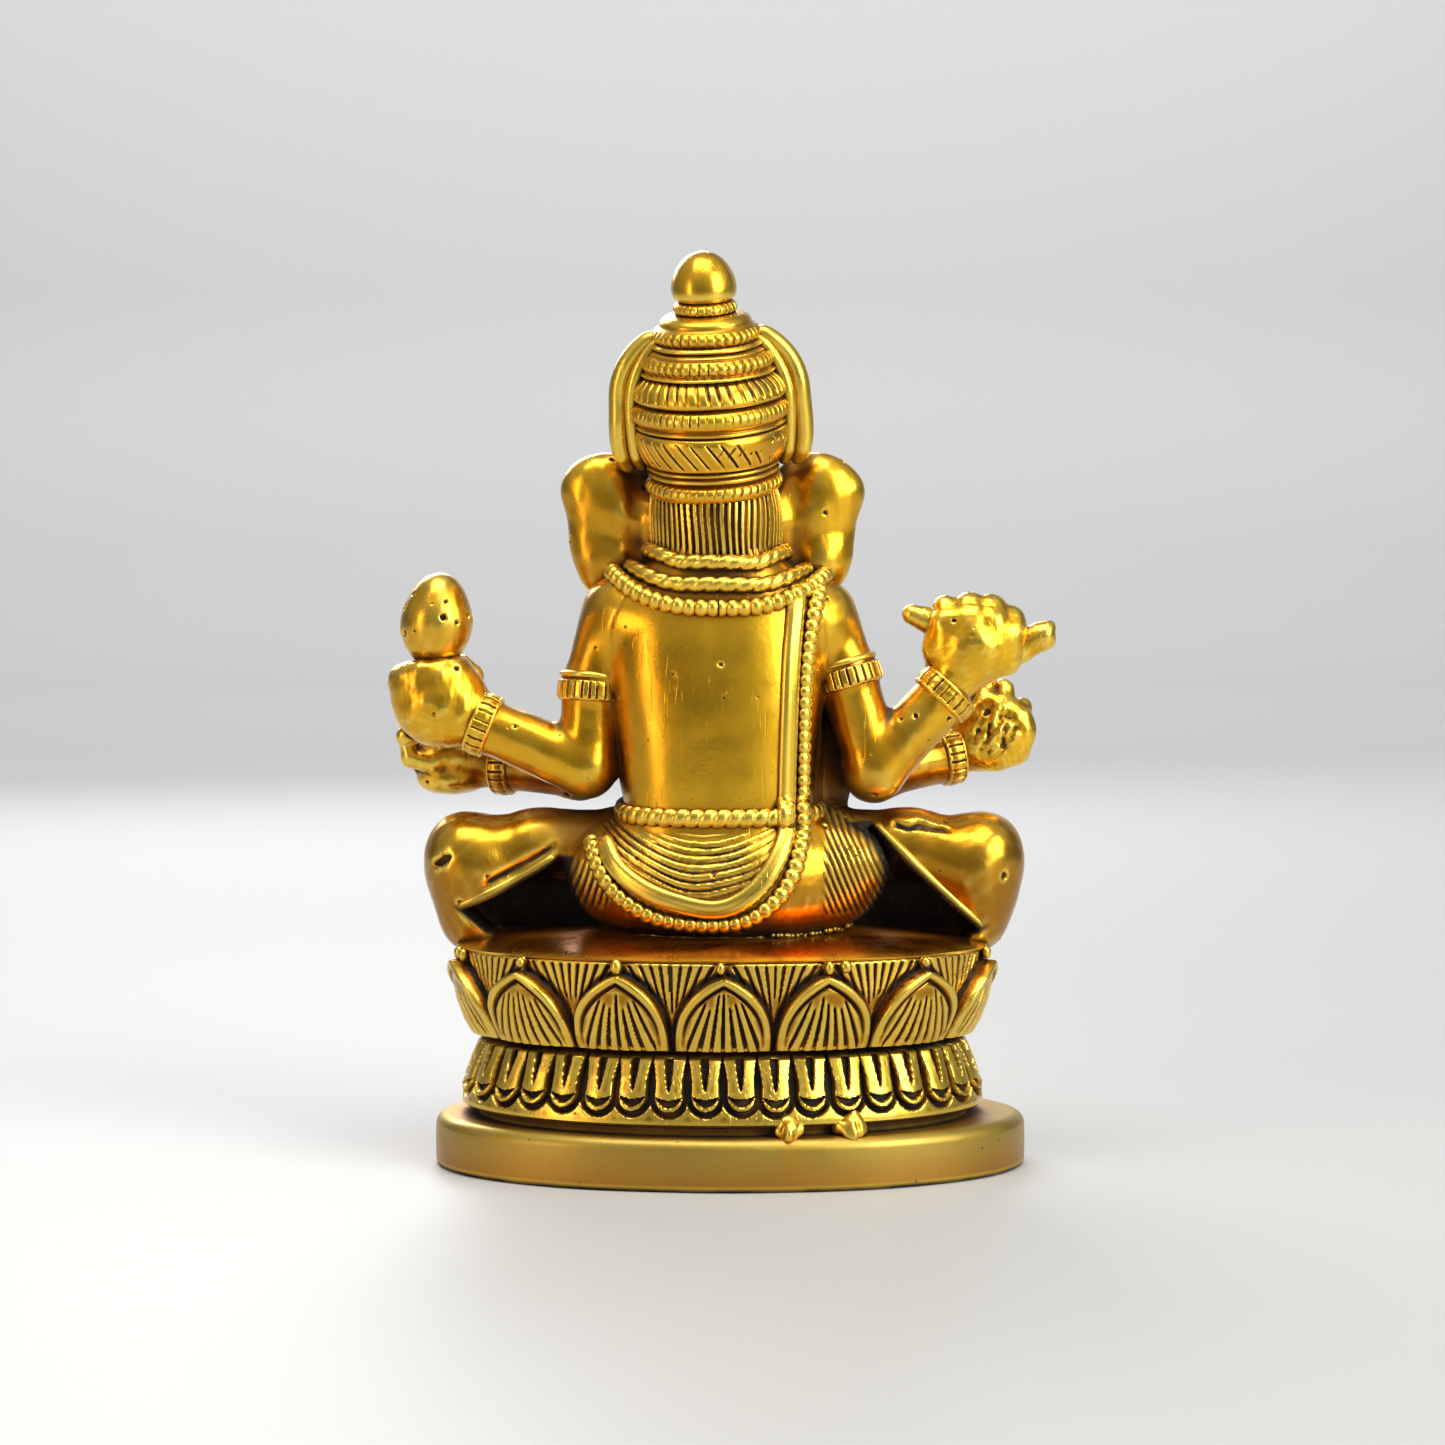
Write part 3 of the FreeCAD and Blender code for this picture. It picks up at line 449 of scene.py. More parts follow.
def make_bowl():
    """The bowl: broad petals with veins and raised rims, and finer ones behind."""
    low, rim = WAIST_Z + 0.2, BOWL_TOP + 1.6
    corners = [(-0.5, low), (0.5, low + 0.3), (1.9, low + 2.6), (3.3, low + 6.0), (4.3, low + 10.0),
               (4.7, rim - 0.5), (4.3, rim), (2.6, rim + 0.1), (-4.2, rim), (-4.2, low), (-0.5, low)]
    base = low + 0.2
    # the veins fan down from above each tip, and the lines between petals fan up from the foot
    veins_meet, lines_meet = base + 15.2, base + 1.6

    def relief(along, height, out, total):
        index, offset = petal_places(along, PETALS, 0.0, 11, 0.012)
        rng = np.random.default_rng(12)
        side = offset * PETAL_SPACING
        side = side + rng.uniform(-0.03, 0.03, PETALS)[index] * (height - 28)
        half = petal_outline(height, base + rng.uniform(-0.15, 0.15, PETALS)[index])
        # distance to the outline, taken across its slope near the tip
        tip = np.clip((height - base) / PETAL_TALL, 0, 1)
        outside = (np.abs(side) - half) / np.sqrt(1.0 + (2.4 * tip ** 2) ** 2)
        body = step(0.20, -0.24, outside)
        crown = 1.80 * np.sqrt(np.clip(1 - (side / 8.6) ** 2, 0, 1)) * (1 - 0.40 * tip ** 2)
        border = np.sqrt(np.clip(1 - ((outside + 0.62) / 0.80) ** 2, 0, 1))
        trench = step(0.36, 0.0, np.abs(outside + 1.62))
        veins = strokes(side, veins_meet - height, 7.6, 0.21, index * 7 + 3)
        veins = veins * step(-2.0, -2.4, outside)
        rim_share = 0.25 + 0.75 * step(0.1, 0.7, tip)
        raised = body * (0.75 + crown + 0.80 * rim_share * border - 0.40 * rim_share * trench - 0.62 * veins)
        gap_side = (np.abs(offset) - 0.5) * PETAL_SPACING * np.sign(offset)
        lines = strokes(gap_side, height - lines_meet, 7.4, 0.19, index * 5 + 90)
        back_lines = -0.45 * lines * step(rim - 0.3, rim - 0.9, height)
        shade = -0.30 * step(1.2, 0.0, np.abs(outside)) * (1 - body)
        face = (height > low + 0.35) & (out > 0.4) & (height < rim - 0.02)
        return np.where(face, raised + (1 - body) * back_lines + shade - 0.35, 0.0)

    piece = oval_wall("lotus_bowl_cast", corners, relief, 1480, 0.2)
    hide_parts("lotus_bowl")
    return piece


def lumps(name, places, rings=12, around=16):
    """Small egg-shaped lumps in one piece. A place is (centre, radius, height as a share of the radius)."""
    vertices, faces = [], []
    for (x, y, z), radius, tall in places:
        first = len(vertices)
        for ring in range(1, rings):
            polar = math.pi * ring / rings
            for spoke in range(around):
                angle = 2 * math.pi * spoke / around
                vertices.append((x + radius * math.sin(polar) * math.cos(angle),
                                 y + radius * math.sin(polar) * math.sin(angle),
                                 z - radius * tall * math.cos(polar)))
        vertices += [(x, y, z - radius * tall), (x, y, z + radius * tall)]
        south, north = len(vertices) - 2, len(vertices) - 1
        faces += [[q + first for q in quad] for quad in grid_faces(rings - 1, around)]
        last = first + (rings - 2) * around
        for spoke in range(around):
            after = (spoke + 1) % around
            faces += [[first + after, first + spoke, south], [last + spoke, last + after, north]]
    return mesh_of_faces(name, vertices, faces)


def make_petal_knobs():
    """The small cast beads at the petals' tips."""
    steps = 2600
    track, normal = oval_track(WAIST_WIDE, WAIST_DEEP, steps)[:2]
    rng = np.random.default_rng(21)
    knobs = []
    for number in range(PETALS):
        for extra in range(2 if number % 3 == 1 else 1):
            at = int((number + 0.16 * extra) / PETALS * steps + rng.integers(-6, 6)) % steps
            out = 5.1 + rng.uniform(-0.1, 0.2)
            centre = (PEDESTAL_X + track[at, 0] + normal[at, 0] * out, track[at, 1] + normal[at, 1] * out,
                      BOWL_TOP + 0.75 + rng.uniform(-0.3, 0.2))
            knobs.append((centre, rng.uniform(0.72, 0.95), rng.uniform(1.0, 1.5)))
    return lumps("petal_knobs", knobs)


def make_spatter():
    """Beads of spilt metal along the crease between the hips and the seat, mostly on one side."""
    rng = np.random.default_rng(91)
    beads = []
    for at in range(46):
        x = -7.0 - 19.0 * (at + rng.uniform(-0.4, 0.4)) / 46
        z = SEAT_TOP - 0.2 + 0.12 * max(-x - 13.0, 0.0) + rng.uniform(0.0, 0.6)
        y = float(seen_from_behind(hips_field, [x], [z + 0.2])[0]) + rng.uniform(-0.1, 0.5)
        if y > 0.0:  # the hip's edge is still behind the bead
            beads.append(((x, y, z), rng.uniform(0.30, 0.70), rng.uniform(0.7, 1.1)))
    return lumps("seat_spatter", beads, 8, 10)


def make_seat_fillet():
    """The bright seam of filler where the back of the hips meets the seat."""
    x = np.linspace(-9.0, 17.0, 90)
    z = np.full(90, SEAT_TOP - 0.25)
    y = seen_from_behind(hips_field, x, z) + 0.1 * np.sin(2.3 * x)
    path = np.stack([x, y, z + 0.12 * np.sin(1.1 * x)], axis=1)
    return tube("seat_fillet", path, 0.62, relief=lambda walked, angle: 0.10 * np.sin(3.1 * walked))


def make_braze():
    """Two rough lumps of braze between the plinth and the ring above it, at the back."""
    def field(points):
        total = None
        for x, y, size in ((-9.4, 27.0, 0.9), (-18.9, 25.0, -1.0)):
            for shift, radius in (((0.0, 0.0, 0.6), 1.6), ((1.5, 0.2, 0.0), 1.2), ((-1.4, 0.1, 0.3), 1.1),
                                  ((0.3, 1.1, -0.7), 1.0), ((0.8, -0.4, 1.9), 1.0)):
                centre = (x + size * shift[0], y + shift[1], PLINTH_TOP + 0.9 + shift[2])
                lump = ball(points, centre, radius * abs(size))
                total = lump if total is None else soft_min(total, lump, 1.4)
        return total

    return moulded("braze_lumps", field, (-24, 20, 6), (-4, 31, 14), 0.16,
                   lambda points, normals: 0.22 * waves(points, 1.6, 92))


SEAT_WIDE = 43.9  # half its width
SEAT_FLATNESS = 0.631  # its depth as a share of its width


def make_seat():
    """The gently domed seat."""
    low, rim, top = BOWL_TOP - 0.3, BOWL_TOP + 1.75, SEAT_TOP
    rows, columns = [], int(500 * FINE)
    track = SEAT_WIDE * oval_track(1.0, SEAT_FLATNESS, columns)[0]
    shares = [(0.955, low), (0.972, rim - 1.2), (0.990, rim - 0.55), (0.998, rim - 0.2), (1.0, rim)]
    for at in range(1, 26):
        inward = 1.0 - at / 26.0 * 0.995
        height = rim + (top - rim) * (1 - inward ** 2.4) ** 0.9 + 0.25 * (1 - inward ** 12)
        shares.append((inward, height))
    for share, height in shares:
        ring = np.stack([PEDESTAL_X + track[:, 0] * share, track[:, 1] * share, np.full(columns, height)],
                        axis=1)
        ring[:, 2] += 0.10 * waves(ring.astype(np.float32), 14.0, 31)
        rows.append(ring)
    points = np.concatenate(rows)
    faces = grid_faces(len(rows), columns)
    piece = smooth_mesh("seat_plate_cast", points, faces)
    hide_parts("seat_plate")
    return piece


# ================================================================ the figure's fields

def middle_of(node):
    low, high = mm_box(node)
    return tuple((low + high) / 2)


def nearer_body(place, by):
    return tuple(np.array(place) + (by, 0.0, 0.0))


REAR_LEFT = {"shoulder": (17.9, 1.0, 90.6), "armlet": nearer_body(middle_of("rear_left_armlet"), -1.2),
             "elbow": (23.6, 2.6, 65.6), "wrist": middle_of("rear_left_wristband"), "hand": (47.4, 1.0, 76.6)}
REAR_RIGHT = {"shoulder": (-14.6, 1.0, 90.0), "armlet": nearer_body(middle_of("rear_right_armlet"), 1.2),
              "elbow": (-23.8, 2.6, 65.2), "wrist": middle_of("rear_right_wristband"),
              "hand": (-40.0, 1.5, 85.0)}
FRONT_LEFT = {"shoulder": (16.5, -6.0, 84.0), "elbow": (25.0, -8.5, 64.6),
              "wrist": middle_of("front_left_wristband"), "hand": (47.4, -14.2, 66.0)}
FRONT_RIGHT = {"shoulder": (-13.5, -6.0, 84.0), "elbow": (-24.2, -8.5, 64.2),
               "wrist": middle_of("front_right_wristband"), "hand": (-44.6, -13.6, 71.0)}

# height, centre x, centre y, half width, half depth of the trunk of the body
TORSO_STATIONS = np.array([
    (50.0, 1.2, 2.2, 16.6, 13.6), (58.0, 1.5, 2.2, 15.9, 13.2), (66.0, 1.8, 2.0, 16.2, 13.5),
    (76.0, 1.9, 1.8, 17.2, 13.5), (85.0, 1.8, 1.4, 18.2, 12.9), (91.0, 1.8, 1.0, 17.4, 11.9),
    (96.0, 1.9, 0.8, 13.6, 10.8), (101.0, 2.0, 0.8, 10.2, 10.0), (107.0, 2.1, 0.8, 9.6, 9.6)])
TORSO_TABLE = curve_through(TORSO_STATIONS, 120)


def column(points, table, power):
    """An upright body whose level sections are rounded boxes read from a table."""
    z = points[:, 2]
    cx, cy, wide, deep = (np.interp(z, table[:, 0], table[:, at]).astype(np.float32) for at in (1, 2, 3, 4))
    x, y = np.abs(points[:, 0] - cx), np.abs(points[:, 1] - cy)
    share = np.maximum(((x / wide) ** power + (y / deep) ** power) ** (1.0 / power), 1e-3)
    sides = np.hypot(x, y) * (1.0 - 1.0 / share)
    ends = np.maximum(table[0, 0] - z, z - table[-1, 0])
    return soft_max(sides * 0.92, ends, 1.0)


def torso_field(points):
    return column(points, TORSO_TABLE, 2.5)


def arm_web(points):
    """The flesh that closes the gap between the right arms and the side."""
    return egg(points, (-15.8, -4.0, 65.0), (4.6, 4.2, 9.5))


def belly_field(points):
    return egg(points, (1.7, -7.6, 67.0), (17.0, 15.6, 15.4))


def hips_field(points):
    seat = egg(points, (0.4, 0.8, 48.8), (26.8, 17.4, 12.6))
    low = egg(points, (0.6, 1.6, 44.5), (23.0, 16.8, 7.5))
    return soft_min(seat, low, 4.0)


LEGS_X = 0.9  # the middle between the legs


def side_view(points, sign):
    """Points with +X turned outward on either side of the body's middle."""
    return np.stack([sign * (points[:, 0] - LEGS_X), points[:, 1], points[:, 2]], axis=1)


def thigh_field(points, sign):
    """The thigh's slab of cloth: flat-topped, with its hem rising towards the hip."""
    own = side_view(points, sign)
    slab = limb(own, [((19.0, -1.0, 54.4), 4.2), ((31.0, -1.4, 51.8), 6.2), ((40.0, -1.6, 48.8), 7.6)], 3.0)
    knee = egg(own, (41.6, -1.8, 48.6), (8.0, 8.4, 8.6))
    foot = egg(own, (41.4, -3.4, 41.6), (6.2, 7.4, 7.4))
    shoulder_of_knee = egg(own, (43.6, -1.8, 52.6), (5.0, 6.2, 4.6))
    return soft_min(soft_min(slab, shoulder_of_knee, 2.5), soft_min(knee, foot, 3.5), 3.0)


def shin_field(points, sign):
    own = side_view(points, sign)
    knee, ankle = (38.0, -9.0, 43.6), (11.5, -19.0, 43.2 + (0.6 if sign < 0 else 0.0))
    middle = (26.0, -14.8, 43.2)
    shin = limb(own, [(knee, 6.8), (middle, 6.2), (ankle, 4.3)], 2.0)
    return soft_min(shin, bar(own, (38.0, -8.0, 39.4), (14.0, -12.0, 39.4), 3.4, 3.4), 3.0)


def under_thigh(points, sign):
    """The open hollow between the thigh's hem, the hip and the seat."""
    own = side_view(points, sign)
    far, low = HEMS[sign][1]
    wedge = (own[:, 2] - hem_height(sign, points[:, 0])) * 0.75
    knee_side = (own[:, 0] - far - 1.1 * (own[:, 2] - low)) * 0.67
    # shallow near the top, where nothing stands behind it
    bottom = -own[:, 1] - 8.5 + 8.0 * step(45.0, 50.5, own[:, 2])
    return soft_max(soft_max(wedge, knee_side, 1.0), bottom, 1.0)


def leg_field(points, sign):
    legs = soft_min(thigh_field(points, sign), shin_field(points, sign), 3.0)
    return soft_max(legs, -under_thigh(points, sign), 1.0)


def rear_arm_field(points, arm):
    upper = limb(points, [(arm["shoulder"], 6.6), (arm["armlet"], 4.8), (arm["elbow"], 4.8)], 1.5)
    fore = limb(points, [(arm["elbow"], 5.0), (arm["wrist"], 4.45), (arm["hand"], 4.2)], 1.0)
    return soft_min(upper, fore, 1.6)


def front_arm_field(points, arm):
    joints = [(arm["shoulder"], 5.6), (arm["elbow"], 4.9), (arm["wrist"], 4.1), (arm["hand"], 3.6)]
    return limb(points, joints, 1.6)


def body_parts(points):
    """Each flesh part's own distance, by name."""
    return {
        "torso": torso_field(points),
        "belly": soft_min(belly_field(points), arm_web(points), 2.0),
        "hips": hips_field(points),
        "left_leg": leg_field(points, 1),
        "right_leg": leg_field(points, -1),
        "rear_left": rear_arm_field(points, REAR_LEFT),
        "rear_right": rear_arm_field(points, REAR_RIGHT),
        "front_left": front_arm_field(points, FRONT_LEFT),
        "front_right": front_arm_field(points, FRONT_RIGHT),
    }


BLENDS = (("belly", 4.0), ("hips", 2.0), ("left_leg", 2.2), ("right_leg", 2.2), ("rear_left", 1.6),
          ("rear_right", 1.6), ("front_left", 1.4), ("front_right", 1.4))


def whole_body(parts, points):
    """All parts as one skin. The rear arms flow into the back at the shoulders."""
    total = parts["torso"]
    shoulder = 4.5 * step(82.0, 91.0, points[:, 2])
    for name, reach in BLENDS:
        total = soft_min(total, parts[name], reach + shoulder if name.startswith("rear") else reach)
    return total


def body_surface(points):
    return whole_body(body_parts(points), points)


def part_of_body(name):
    """The share of the body's skin that lies nearest to one part; it slips a little under its neighbours."""
    def field(points):
        parts = body_parts(points)
        others = np.min(np.stack([value for other, value in parts.items() if other != name]), axis=0)
        past = (parts[name] - others) * 0.5
        return np.maximum(whole_body(parts, points) + 0.12 * step(-0.25, 0.15, past), past - 0.6)
    return field


def within_plane(field, through, normal):
    """The part of a field on the far side of a plane."""
    way = arr(*normal)
    way /= np.linalg.norm(way)
    return lambda points: np.maximum(field(points), -((points - arr(*through)) @ way))


def toward(start, end):
    return tuple(np.array(end) - np.array(start))


# ================================================================ dress folds and other engraving

def grooves(value, spacing, width, depth, edge=0.12):
    """A run of engraved lines where a value passes whole multiples of the spacing."""
    off = np.abs((value / spacing + 0.5) % 1.0 - 0.5) * spacing
    return -depth * step(width / 2 + edge, width / 2 - edge, off)


def pocks(points, seed, cell=4.2, share=0.6):
    """Small round casting pits, one at most in each cell of a lattice, at drawn places."""
    corner = np.floor(points.astype(np.float64) / cell)
    key = corner @ np.array([12.9898, 78.233, 37.719]) + seed * 4.7
    draws = [np.abs(np.sin(key * rate) * 43758.5453) % 1.0 for rate in (1.0, 1.37, 1.91, 2.43, 3.11)]
    centre = (corner + 0.2 + 0.6 * np.stack(draws[:3], axis=1)) * cell
    radius = 0.32 + 0.42 * draws[3]
    gap = np.linalg.norm(points - centre, axis=1)
    return -0.9 * radius * step(radius, 0.35 * radius, gap) * (draws[4] < share)


def cast_skin(points, size=6.0, height=0.10, seed=1, pit_share=0.6):
    """The slight unevenness of a sand casting, with its pits."""
    return height * waves(points, size, seed) + 0.25 * height * waves(points, size * 0.3, seed + 50) \
        + pocks(points, seed, share=pit_share)


def hips_relief(points, normals):
    """The cloth over the hips: hanging folds behind, and short lines down each side."""
    x, y, z = points.T
    from_middle = x - 4.2
    # the hanging fold lines between the belt and the sash
    smile = z - 0.030 * from_middle ** 2 + 0.35 * waves(points, 9.0, 61)
    inside = step(17.5, 15.5, from_middle) * step(-11.8, -10.2, from_middle)
    rising = step(44.6, 46.4, z - 0.016 * from_middle ** 2)
    back = step(3.0, 6.0, y)
    fade = 0.65 + 0.35 * waves(points, 7.0, 62)
    folds = grooves(smile, 1.30, 0.50, 0.42) * inside * rising * back * fade
    # short lines down the outside of each hip
    lean = x + 0.33 * (z - 46)
    left = grooves(lean, 1.15, 0.42, 0.34) * step(19.0, 20.4, x) * step(42.5, 44.0, z) * step(52, 50, z)
    lean = x - 0.42 * (z - 50.0)
    right = grooves(lean, 1.05, 0.42, 0.36) * step(-14.8, -16.2, x) * step(41.5, 43.0, z)
    return folds + (left + right) * step(0.0, 3.0, y) + cast_skin(points, 6.0, 0.10, 2)


def leg_relief(sign):
    def relief(points, normals):
        x, y, z = points.T
        out = sign * x
        # cloth folds wrap the front of the shin and thigh
        across = out * 0.8 + y * 0.45 + 0.5 * waves(points, 10.0, 65)
        front = step(-8.0, -11.0, y)
        crease = 1.0 - np.abs(np.sin(np.pi * across / 4.4 + 0.7 * waves(points, 7.0, 67)))
        folds = (0.12 - 0.36 * crease ** 2.0) * front
        back = step(0.0, 3.0, y)
        if sign > 0:
            # a worn groove above the hem, and a long shallow flaw on the outer side of the knee
            above = z - hem_height(1, x) - 2.6
            groove = -0.55 * step(0.9, 0.2, np.abs(above)) * step(28.0, 30.5, x) * step(41.0, 38.5, x) * back
            along = (x - 47.2) * 0.87 - (z - 50.4) * 0.5
            off = (x - 47.2) * 0.5 + (z - 50.4) * 0.87
            mark = groove - 0.95 * step(1.1, 0.6, np.hypot(along / 1.9, off / 0.75)) * step(-3.0, 0.0, y)
        else:
            # a rough groove along the top of the thigh
            line = z - 56.0 + 0.10 * (out - 30.0) + 0.3 * waves(points, 4.0, 66)
            mark = -0.8 * step(0.75, 0.25, np.abs(line))
            mark = mark * step(26.5, 28.0, out) * step(36.5, 34.5, out) * back
        return folds + mark + cast_skin(points, 8.0, 0.13, 4)
    return relief


# each thigh's hem on the back, from (outward, height) at the hip to the same at the knee
HEMS = {1: ((27.2, 50.6), (43.2, 42.2)), -1: ((24.2, 56.2), (42.2, 38.9))}


def hem_height(sign, x):
    """How high the thigh's hem runs on the back, by x."""
    (near, high), (far, low) = HEMS[sign]
    share = np.clip((sign * (x - LEGS_X) - near) / (far - near), 0.0, 1.0)
    return high + (low - high) * share - 0.5 * np.sin(share * np.pi)


def plain_relief(seed, size=6.5, height=0.09):
    return lambda points, normals: cast_skin(points, size, height, seed)


def torso_relief(points, normals):
    x, y, z = points.T
    spine = -0.10 * np.exp(-((x - 2.4) / 1.5) ** 2) * step(2.0, 6.0, y) * step(60, 66, z) * step(92, 86, z)
    return spine + cast_skin(points, 16.0, 0.12, 7, 0.2)


def belly_relief(points, normals):
    x, y, z = points.T
    navel = -0.9 * np.exp(-((x - 1.7) ** 2 + (z - 62.5) ** 2) / 1.6) * step(-10.0, -14.0, y)
    return navel + cast_skin(points, 8.0, 0.10, 8)


# ================================================================ body pieces

def arm_box(arm, *joints):
    """The corners of a box round some of an arm's joints, with room for its flesh."""
    places = [arm[joint] for joint in joints]
    return np.min(places, axis=0) - 8, np.max(places, axis=0) + 8


def make_body():
    """Torso, belly, hips, legs and arms: one smooth skin, cut into its pieces where castings meet."""
    made = []

    def piece(name, nodes_replaced, field, low, high, voxel, relief):
        shape = moulded(name, field, low, high, voxel, relief)
        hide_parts(*nodes_replaced)
        made.append(shape)

    piece("torso_cast", ["torso"], part_of_body("torso"), (-19, -16, 49), (22, 17.5, 108), 0.42, torso_relief)
    piece("belly_cast", ["belly"], part_of_body("belly"), (-23, -25, 50), (21, 6, 84), 0.42, belly_relief)
    piece("hips_cast", ["hips"], part_of_body("hips"), (-28, -19, 35), (31, 20.5, 63), 0.30, hips_relief)
    piece("left_leg_cast", ["left_leg"], part_of_body("left_leg"), (6, -27, 34), (54, 12, 62), 0.36,
          leg_relief(1))
    piece("right_leg_cast", ["right_leg"], part_of_body("right_leg"), (-53, -27, 34), (-4, 12, 62), 0.36,
          leg_relief(-1))
    for side, arm in (("left", REAR_LEFT), ("right", REAR_RIGHT)):
        name = "rear_" + side
        whole = part_of_body(name)
        down = toward(arm["shoulder"], arm["armlet"])
        out = toward(arm["elbow"], arm["wrist"])
        low, high = arm_box(arm, "shoulder", "elbow", "armlet")
        above = within_plane(whole, arm["armlet"], tuple(-v for v in down))
        piece(name + "_upper_arm_cast", [name + "_upper_arm"], above, low, high, 0.32, plain_relief(10))
        low, high = arm_box(arm, "wrist", "elbow", "armlet")
        below = within_plane(within_plane(whole, arm["armlet"], down), arm["wrist"], tuple(-v for v in out))
        piece(name + "_forearm_cast", [name + "_forearm"], below, low, high, 0.32, plain_relief(11))
    for side, arm in (("left", FRONT_LEFT), ("right", FRONT_RIGHT)):
        name = "front_" + side
        out = toward(arm["elbow"], arm["wrist"])
        low, high = arm_box(arm, "shoulder", "elbow", "wrist")
        whole = within_plane(part_of_body(name), arm["wrist"], tuple(-v for v in out))
        piece(name + "_arm_cast", [name + "_arm"], whole, low, high, 0.36, plain_relief(12))
    return made


def make_hem_ridges():
    """The raised hem along the lower back edge of each thigh."""
    made = []
    for side, sign in (("left", 1), ("right", -1)):
        (near, _), (far, _) = HEMS[sign]
        x = LEGS_X + sign * np.linspace(near + 0.4, far + 0.6, 60)
        z = hem_height(sign, x) + 0.75
        y = seen_from_behind(body_surface, x, z)
        y = smoothed(y, 4)
        path = np.stack([x, y - 0.15, z], axis=1)
        made.append(tube(side + "_hem", path, 0.95, lambda share: 0.7 + 0.3 * np.sin(np.pi * share) ** 0.5))
    return made


# ================================================================ cords and tubes

def smoothed(values, reach):
    """A row of values, each averaged with its neighbours within reach."""
    width = 2 * reach + 1
    return np.convolve(np.pad(values, reach, mode="edge"), np.ones(width) / width, mode="valid")


def walked_along(path):
    """The distance walked along a path, at each of its points."""
    return np.concatenate([[0], np.cumsum(np.linalg.norm(np.diff(path, axis=0), axis=1))])


def frames_along(path, outward=None):
    """Tangent, side and up directions along a path; up leans towards outward where that is given."""
    tangent = np.gradient(path, axis=0)
    tangent /= np.maximum(np.linalg.norm(tangent, axis=1, keepdims=True), 1e-9)
    if outward is None:
        outward = np.tile(np.array([0.0, 0.0, 1.0]), (len(path), 1))
    side = np.cross(tangent, outward)
    side /= np.maximum(np.linalg.norm(side, axis=1, keepdims=True), 1e-9)
    return tangent, side, np.cross(side, tangent)


def tube(name, path, radius, taper=None, relief=None, outward=None, closed=False, around=16, flat=1.0):
    """A round or flattened cord along a path, with relief(distance, angle) and rounded ends."""
    path = np.asarray(path, dtype=float)
    tangent, side, up = frames_along(path, outward)
    if closed:
        ring = np.concatenate([path[-1:], path, path[:1]])
        tangent = ring[2:] - ring[:-2]
        tangent /= np.linalg.norm(tangent, axis=1, keepdims=True)
        side = np.cross(tangent, outward)
        side /= np.linalg.norm(side, axis=1, keepdims=True)
        up = np.cross(side, tangent)
    walked = walked_along(path)
    share = walked / walked[-1]
    size = np.full(len(path), radius) * (1.0 if taper is None else taper(share))
    if not closed:
        to_end = np.clip(np.minimum(walked, walked[-1] - walked) / radius, 0, 1)
        cap = np.sqrt(np.clip(1 - (1 - to_end) ** 2, 0, 1))
        size = size * np.maximum(cap, 0.02)
    angle = np.arange(around) * 2 * np.pi / around
    lift = size[:, None] * np.ones(around)[None]
    if relief is not None:
        lift = lift + relief(walked[:, None], angle[None]) * (size / radius)[:, None]
    points = (path[:, None] + side[:, None] * (np.cos(angle)[None] * lift)[..., None]
              + up[:, None] * (np.sin(angle)[None] * lift * flat)[..., None])
    faces = grid_faces(len(path), around, wrap_rows=closed)[:, ::-1]
    vertices = points.reshape(-1, 3)
    if not closed:
        faces = faces.tolist()
        first, last = len(vertices), len(vertices) + 1
        vertices = np.vstack([vertices, path[0], path[-1]])
        top = (len(path) - 1) * around
        for spoke in range(around):
            after = (spoke + 1) % around
            faces.append([first, first, spoke, after])
            faces.append([last, last, top + after, top + spoke])
        return mesh_of_faces(name, vertices, faces)
    return smooth_mesh(name, vertices, faces)


def rope_relief(pitch, depth, strands=2):
    """Slanting strands of a twisted rope."""
    def relief(walked, angle):
        return -depth * (0.5 + 0.5 * np.cos(2 * np.pi * walked / pitch - strands * angle)) ** 3
    return relief


def bead_relief(pitch, depth):
    """A string of beads: deep cuts across, rounded between."""
    return lambda walked, angle: -depth * (1 - np.abs(np.sin(np.pi * walked / pitch)) ** 0.7)


def on_the_back(route, count, lift):
    """A line over the figure's back through (x, z) points, raised a little off the surface."""
    flat = curve_through(route, count)
    y = seen_from_behind(dressed_back, flat[:, 0], flat[:, 1])
    path = np.stack([flat[:, 0], y, flat[:, 1]], axis=1)
    path[:, 1] = smoothed(path[:, 1], 6)
    outward = slope(dressed_back, path.astype(np.float32), 0.5)
    return path + outward * lift, outward


BELT_Z = 58.6


def belt_field(points):
    """The belt as a flat hoop, so that the sash can pass over it."""
    around = column(points, TORSO_TABLE, 2.5) - 1.3
    return np.maximum(around, np.abs(points[:, 2] - BELT_Z) - 1.4)


def dressed_back(points):
    return soft_min(body_surface(points), belt_field(points), 1.0)


SASH_INNER = [(-11.0, 95.4), (-10.4, 90.0), (-9.8, 83.0), (-9.4, 74.0), (-9.1, 65.0), (-9.0, 58.5),
              (-8.8, 54.6), (-6.2, 49.2), (-2.2, 45.3), (2.6, 43.7), (9.2, 44.9), (14.2, 46.9), (18.2, 50.0),
              (20.6, 54.6)]
SASH_OUTER = [(-14.6, 95.2), (-13.4, 90.0), (-12.3, 83.0), (-11.8, 74.0), (-11.6, 65.0), (-11.6, 58.5),
              (-11.5, 54.6), (-10.0, 49.0), (-6.9, 44.7), (-2.0, 41.8), (4.4, 41.2), (10.8, 42.0),
              (15.0, 43.6), (18.6, 46.2), (21.2, 50.0), (22.6, 54.2)]


